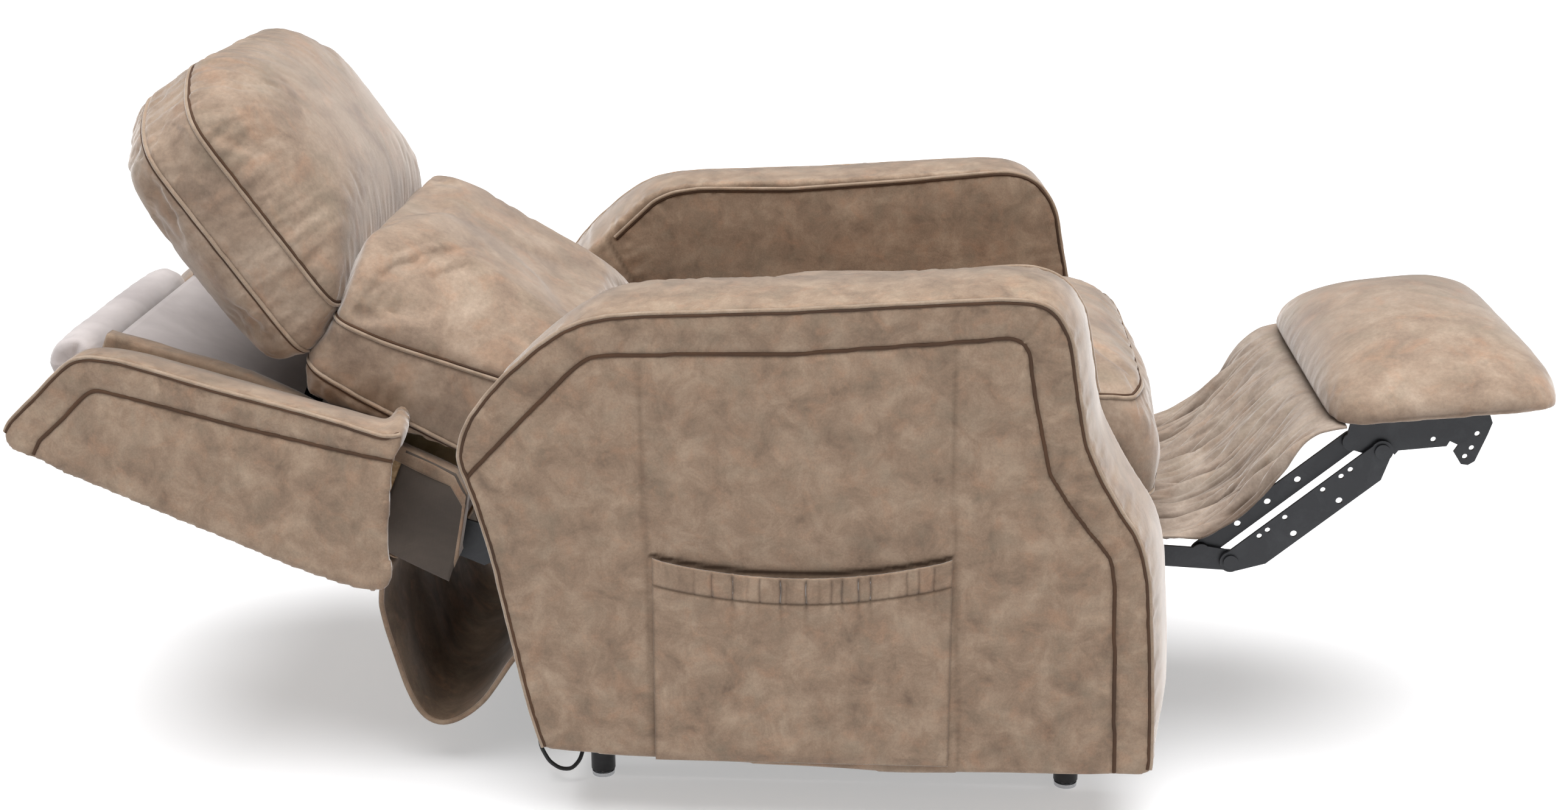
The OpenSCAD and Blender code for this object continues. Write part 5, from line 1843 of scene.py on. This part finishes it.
@dataclass
class HeadCushion(Cushion):
    """The head cushion: piped front and rear, with a bag that bulges behind."""
    half: float = 252.0
    arch: float = 71.0
    crown: float = 77.0

    def level(self, k: float, off: float) -> list[Vector]:
        """Returns one level: its share of the outline and its height off the section.

        Args:
            k: Share of the outline's size, 1 at the piped edge.
            off: Height off the frame, in millimetres.

        Returns:
            A closed ring of points.
        """
        foot = 10 + 0.16 * max(off, 0.0) + 0.0035 * max(off, 0.0) ** 2 + 0.45 * max(0.0, off - 70)
        out = []
        for x, y in cushion_ring(1.0, 1.0, 160, 12):
            if x > 0:
                along = 162.5 + x * (150.5
                                     + self.arch * (1 - (y * self.half
                                                         / 254) ** 2)) * (k ** 0.75 if off > 65 else k)
            else:
                along = 162.5 + x * (162.5 - foot) * (k ** 0.55 if off > 65 else k)
            out.append(HEAD.at(along, y * self.half * k, off))
        return out

    def rings(self) -> list[list[Vector]]:
        """Returns the cushion's levels from the rear bag to the crown.

        Returns:
            One ring of points for each level.
        """
        levels = [
            (0.3, -70), (0.6, -68), (0.8, -62), (0.9, -52), (0.945, -41), (0.962, -28), (0.975, -14),
            (0.995, -6), (1, 2), (0.985, 26), (0.99, 50), (1, 65)]
        for k in (0.985, 0.955, 0.90, 0.82, 0.70, 0.56, 0.40, 0.22):
            levels.append((k, 65 + self.crown * (1 - k ** 4) ** 0.55))
        return [self.level(k, off) for k, off in levels]

    def piped(self) -> list[tuple[Path, bool, Vector]]:
        """Returns the front and rear piping."""
        return [(self.level(1.0, 65), True, HEAD.at(170, 0, 140)),
                (self.level(0.998, -2), True, HEAD.at(170, 0, -60))]

    def plain(self) -> list[Seam]:
        """Returns the cross seam of the side band."""
        return [Seam([HEAD.at(300, -238, b) for b in (-8, 20, 62)], False, 1.6, 0.8, 4.0)]


@dataclass
class LegPad(Cushion):
    """The leg rest's pad: one smooth cover over its board."""
    half: float = 240.0

    def rings(self) -> list[list[Vector]]:
        """Returns the pad's levels from its board to its top.

        Returns:
            One ring of points for each level.
        """
        a = 136.0
        out = []
        for k, h, power in ((0.3, 0, 12), (0.9, 0.003, 12), (0.97, 0.01, 12), (0.99, 0.06, 9), (1, 0.16, 7),
                            (0.992, 0.28, 6), (0.97, 0.38, 6),
                            (0.93, 0.46, 5), (0.86, 0.56, 5), (0.76, 0.68, 4), (0.64, 0.79, 4),
                            (0.5, 0.88, 3), (0.34, 0.96, 3), (0.16, 1, 3)):
            out.append([PAD.at(a + x * k, y * (1 + 24 / 480 * (x / a + 1) / 2) * k, -1.4 + 87 * h) for x,
                        y in cushion_ring(a, self.half, 120, power)])
        return out

    def plain(self) -> list[Seam]:
        """Returns the seam along the pad's lower edge."""
        ring = [PAD.at(136 + x * 0.985, y * (1 + 24 / 480 * (x / 136 + 1) / 2) * 0.985, 6) for x,
                y in cushion_ring(136, self.half, 120, 6)]
        return [Seam(ring, True, 1.5, 0.9, 4.0)]


# ---------- cloth across the joints ----------
def path_at(path: np.ndarray, share: float) -> np.ndarray:
    """Returns the point at a share of an evenly laid path.

    Args:
        path: The path's points, one row each.
        share: Share of the path's length, from 0 to 1.

    Returns:
        The point.
    """
    at = share * (len(path) - 1)
    low = min(int(at), len(path) - 2)
    return path[low] + (path[low + 1] - path[low]) * (at - low)


@dataclass
class CalfGusset:
    """The loose cloth between the seat's front and the leg rest's pad."""
    half: float = 228.0
    path: tuple[Pair, ...] = (
        (2.5, 356), (4, 343), (22, 331), (60, 324), (100, 321), (135, 320), (160, 322), (175, 327),
        (192, 336), (213, 351), (236, 372), (258, 397), (280, 423), (300, 445), (314, 456))
    creases: tuple[tuple[float, float, float, float], ...] = ((7.0, 5.5, 0.9, 1.6), (4.2, 12.0, 1.6, -2.2),
                                                              (1.8, 26.0, 3.2, 3.0))

    def fold(self, u: float, y: float) -> float:
        """Gives the height of the creases at a place on the cloth.

        Args:
            u: Share of the way from the seat's front to the pad.
            y: Place across the cloth, from -1 to 1.

        Returns:
            How far the cloth stands below its smooth path, in millimetres.
        """
        hold = math.sin(math.pi * min(1.0, max(0.0, (u - 0.12) / 0.82))) ** 0.8
        drift = noise.noise(Vector((y * 3, u * 2.2, 5)))
        fold = 3.2 * hold * math.sin(9 * y + 3.2 * u * (1 + abs(y))) * (0.35 + 0.65 * abs(y))
        for size, across, along, lean in self.creases:
            crease = noise.noise(Vector((y * across + lean * u + 1.3 * drift, u * along, across)))
            fold += size * hold * (1 - 4.0 * min(0.5, abs(crease)))
        return fold

    def build(self, wardrobe: Wardrobe) -> None:
        """Builds the gusset with its folds, with painted shade in the depth of each crease.

        Args:
            wardrobe: The finishes.
        """
        ends = [PAD.xz(4, -3), PAD.xz(20, -2.1)]
        path = softened(even(list(self.path) + ends, 4.0), 3)

        def surface(u: float, v: float) -> Vector:
            """Returns the cloth's point at two shares.

            Args:
                u: Share along the cloth.
                v: Share across the cloth.

            Returns:
                The point, in metres.
            """
            x, z = path_at(path, u)
            before, after = path_at(path, max(0, u - 0.02)), path_at(path, min(1, u + 0.02))
            d = (after - before) / np.linalg.norm(after - before)
            y = 2 * v - 1
            fold = self.fold(u, y)
            return SIDE.at(x + d[1] * fold, y * self.half, z - d[0] * fold)
        piece = sheet_piece("calf_gusset_cloth", surface, 90, 230, 0.0028)
        values = []
        for v in piece.data.vertices:
            x, z = v.co.x / MM - DATUM_X, v.co.z / MM
            share = int(np.argmin((path[:, 0] - x) ** 2 + (path[:, 1] - z) ** 2)) / (len(path) - 1)
            depth = self.fold(share, v.co.y / MM / self.half)
            # Painted shade: the seam attribute darkens each crease in its depth.
            values.append(0.75 * min(1.0, max(0.0, (depth - 2.5) / 7.5)))
        mark(piece, "seam", values)
        dress(piece, "chair", wardrobe.gusset, Slot.SUEDE_CLOTH, ["calf_gusset"])
        root = SIDE.at(path[0][0], 0, path[0][1])
        tuple(root)
        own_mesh(piece)


@dataclass
class RearFlap:
    """The flap that hangs in a loop from the back's rear face to the chair's rear rail."""
    half: float = 252.0

    def build(self, wardrobe: Wardrobe) -> None:
        """Builds the flap with its hem.

        Args:
            wardrobe: The finishes.
        """
        top = [BACK.xz(192, -197.2), BACK.xz(172, -197.2)]
        loop = [
            (-810, 250), (-813, 222), (-807, 190), (-797, 152), (-787, 115), (-776, 87), (-763, 70),
            (-746, 63), (-727, 68), (-707, 81), (-689, 98), (-672, 123), (-656, 148), (-640, 168),
            (-621, 178), (-605, 179), (-600.6, 172), (-600.6, 158)]
        path = softened(even(top + loop, 5.0), 3)

        def surface(u: float, v: float) -> Vector:
            """Returns the flap's point at two shares.

            Args:
                u: Share along the cloth.
                v: Share across the cloth.

            Returns:
                The point, in metres.
            """
            x, z = path_at(path, u)
            y = 2 * v - 1
            hold = math.sin(math.pi * u)
            before, after = path_at(path, max(0, u - 0.02)), path_at(path, min(1, u + 0.02))
            d = (after - before) / np.linalg.norm(after - before)
            fold = 3.0 * hold * noise.noise(Vector((y * 4, u * 2, 8))) + 1.6 * hold * math.sin(11 * y + 5 * u)
            return SIDE.at(x + d[1] * fold, y * self.half, z - d[0] * fold)
        piece = sheet_piece("rear_flap_cloth", surface, 90, 100, 0.0036)
        dress(piece, "chair", wardrobe.flap, Slot.SUEDE_CLOTH, ["rear_flap"], rides=False)
        ends = {"start": tuple(SIDE.at(-650, 0, 155)), "end": tuple(SIDE.at(-808, 0, 252))}
        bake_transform(piece, "chair", "back", **ends)
        edge = even(path[2:-3], 6.0)
        runs = [(np.array([tuple(SIDE.at(x, side * (self.half + 0.5), z)) for x, z in edge]), False)
                for side in (-1, 1)]
        hem = tubes("rear_flap_binding", runs, 3.4)
        dress(hem, "chair", wardrobe.suede, Slot.SUEDE_CLOTH, rides=False)
        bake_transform(hem, "chair", "back", **ends)


@dataclass
class SidePocket:
    """A flat side pocket with an elastic, gathered top."""
    side: int = -1
    low_z: float = 93.0
    left_x: float = -461.0
    right_x: float = -119.0
    elastic: float = 32.0
    pleats: tuple[tuple[float, float], ...] = (
        (0.14, 0.5), (0.2, 1.0), (0.27, 1.2), (0.32, 0.5), (0.36, 0.9), (0.43, 1.6), (0.45, 0.6),
        (0.515, 1.5), (0.56, 0.5), (0.6, 0.9), (0.635, 1.1), (0.69, 1.3), (0.73, 1.2), (0.79, 0.4),
        (0.85, 0.8), (0.89, 0.9), (0.94, 0.9))

    def top(self, u: float) -> float:
        """Returns the height of the pocket's sagging top at a share of its width."""
        return 346 - 21 * math.sin(math.pi * u) ** 0.85 + 5 * u

    def gather(self, u: float, drop: float) -> float:
        """Returns how deep the elastic gathers the cloth.

        Args:
            u: the share of the pocket's width.
            drop: how far below the pocket's top, mm.

        Returns:
            The depth of the pleats there, mm.
        """
        depth = 1.3 * math.exp(-((drop - self.elastic) / 2.6) ** 2)
        for place, size in self.pleats:
            if drop < self.elastic:
                reach, wide = min(1.0, drop / 5), 0.0052
            else:
                low = (drop - self.elastic) / 26
                reach, wide = 0.9 * math.exp(-low * (1.4 if size > 1.1 else 2.4)), 0.0065 + 0.006 * low
            shift = place + 0.0012 * math.sin(drop * 0.2 + place * 40)
            depth += 2.3 * size * reach * math.exp(-((u - shift) / wide) ** 2)
        return depth

    def build(self, wardrobe: Wardrobe) -> None:
        """Builds the pocket's cloth, with painted shade in its creases and pleats.

        Args:
            wardrobe: The finishes.
        """
        name = "right" if self.side < 0 else "left"

        def surface(u: float, v: float) -> Vector:
            """Returns the pocket's point at two shares.

            Args:
                u: Share along the cloth.
                v: Share across the cloth.

            Returns:
                The point, in metres.
            """
            x = self.left_x + (self.right_x - self.left_x) * u
            top = self.top(u)
            z = self.low_z + (top - self.low_z) * v
            hem = min(1.0, min(u, 1 - u) / 0.03) * min(1.0, v / 0.04)
            y = 392.8 + 1.4 * hem + 6.0 * math.sin(math.pi * u) ** 0.7 * (0.15 + 0.85 * v ** 2) * hem
            y -= self.gather(u, top - z) * hem
            y += 1.2 * noise.noise(Vector((u * 6, v * 5, 3))) * hem
            return SIDE.at(x, self.side * y, z)
        piece = sheet_piece(f"{name}_pocket_cloth", surface, 320, 144, 0.0026)
        values = []
        for v in piece.data.vertices:
            x, z = v.co.x / MM - DATUM_X, v.co.z / MM
            u = min(1.0, max(0.0, (x - self.left_x) / (self.right_x - self.left_x)))
            drop = self.top(u) - z
            # Painted shade in the seam attribute: a dark line in the crease under the elastic, along the side
            # edges, and in each pleat's hollow.
            line = 0.85 * math.exp(-((drop - self.elastic) / 1.7) ** 2)
            side = 0.45 * math.exp(-((min(u, 1 - u) * 342) / 1.8) ** 2)
            values.append(min(1.0, max(line, side, 0.16 * self.gather(u, drop))))
        mark(piece, "seam", values)
        dress(piece, "chair", wardrobe.suede, Slot.SUEDE_CLOTH, ["side_pockets"])


# ---------- steel, motors and wood ----------
@dataclass
class Hardware:
    """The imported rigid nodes, each with its finish."""
    black: tuple[str, ...] = (
        "floor_rails", "floor_cross_tubes", "lift_base_ears", "rear_lift_arms", "lift_shaft",
        "front_lift_arms", "mechanism_side_plates", "mechanism_cross_tubes", "back_brackets", "back_lever",
        "head_brackets", "head_arms", "leg_torque_shaft", "leg_cranks", "lower_links", "upper_links",
        "pad_brackets", "crank_rivets", "ankle_rivets")
    bright: tuple[str, ...] = ("foot_glides", "pivot_pins", "lift_rod", "back_rod", "leg_rod")
    plastic: tuple[str, ...] = ("power_unit", "lift_motor", "back_motor", "leg_motor", "lead_clips")
    wood: tuple[str, ...] = (
        "front_rail", "rear_seat_rail", "rear_rail", "right_arm_board", "left_arm_board", "back_side_boards",
        "back_cross_rails", "head_board", "pad_board")

    def finish(self, wardrobe: Wardrobe) -> None:
        """Gives each rigid node its material.

        Args:
            wardrobe: The finishes.
        """
        for names, material in ((self.black, wardrobe.black_steel), (self.bright, wardrobe.bright),
                                (self.plastic, wardrobe.motor),
                                (self.wood, wardrobe.timber), (("foot_posts",), wardrobe.foot_black),
                                (("seat_springs",), wardrobe.spring)):
            for name in names:
                node = bpy.data.objects[name]
                for slot in node.material_slots:
                    slot.material = material


@dataclass
class Fittings:
    """Small bought fittings: a hex nut over each glide."""
    nut_across: float = 23.0

    def hexagon(self, name: str, place: Vector, turn: tuple[float, float, float], height: float,
                across: float) -> bpy.types.Object:
        """Makes a bevelled hexagonal nut.

        Args:
            name: the piece's name.
            place: the nut's middle, in metres.
            turn: its rotation, in radians.
            height: its thickness, mm.
            across: its width across the corners, mm.

        Returns:
            The nut, with its turn and place applied.
        """
        bpy.ops.object.select_all(action="DESELECT")
        bpy.ops.mesh.primitive_cylinder_add(vertices=6, radius=across / 2 * MM, depth=height * MM,
                                            location=place, rotation=turn)
        piece = bpy.context.object
        piece.name = piece.data.name = name
        bpy.ops.object.transform_apply(location=True, rotation=True, scale=True)
        applied(piece, "BEVEL", width=0.5 * MM, segments=2)
        return piece

    def build(self, wardrobe: Wardrobe) -> None:
        """Places a nut over each of the four glides.

        Args:
            wardrobe: The finishes.
        """
        for k, (x, side) in enumerate(((-544, -1), (-544, 1), (31, -1), (31, 1))):
            nut = self.hexagon(f"glide_nut_{k + 1}", SIDE.at(x, side * 250, 6.4), (0, 0, 0.3 * k), 2.8,
                               self.nut_across)
            dress(nut, "base", wardrobe.bright, Slot.BRIGHT_STEEL)


def main() -> None:
    """Builds the studio and then the chair, piece by piece."""
    logging.basicConfig(level=logging.INFO, format="%(message)s")
    Studio().build()
    wardrobe = Wardrobe.built()
    MotorLead().build(wardrobe)
    for side in (-1, 1):
        Arm(side).build(wardrobe)
        SidePocket(side).build(wardrobe)
        Wing(side).build(wardrobe)
    BackShell().build(wardrobe)
    SeatCushion("seat", "chair", "seat_cushion", voxel=7.5, cap=12,
                padding=Padding(4, 45, 2.6, 20, 40, 3.0, 170, 31)).build(wardrobe)
    LumbarCushion("lumbar", "back", "lumbar_cushion", voxel=7.0, cap=14,
                  padding=Padding(3, 45, 2.4, 18, 36, 2.6, 150, 37)).build(wardrobe)
    HeadCushion("head", "head", "head_cushion", voxel=6.5, cap=12,
                padding=Padding(3, 45, 2.6, 15, 40, 2.6, 150, 41)).build(wardrobe)
    LegPad("leg", "leg_rest", "leg_pad", voxel=6.5, cap=5,
           padding=Padding(1, 60, 1.0, 20, 30, 1.6, 140, 47)).build(wardrobe)
    CalfGusset().build(wardrobe)
    RearFlap().build(wardrobe)
    Hardware().finish(wardrobe)
    Fittings().build(wardrobe)
    bpy.context.view_layer.update()


if __name__ == "__main__":
    main()
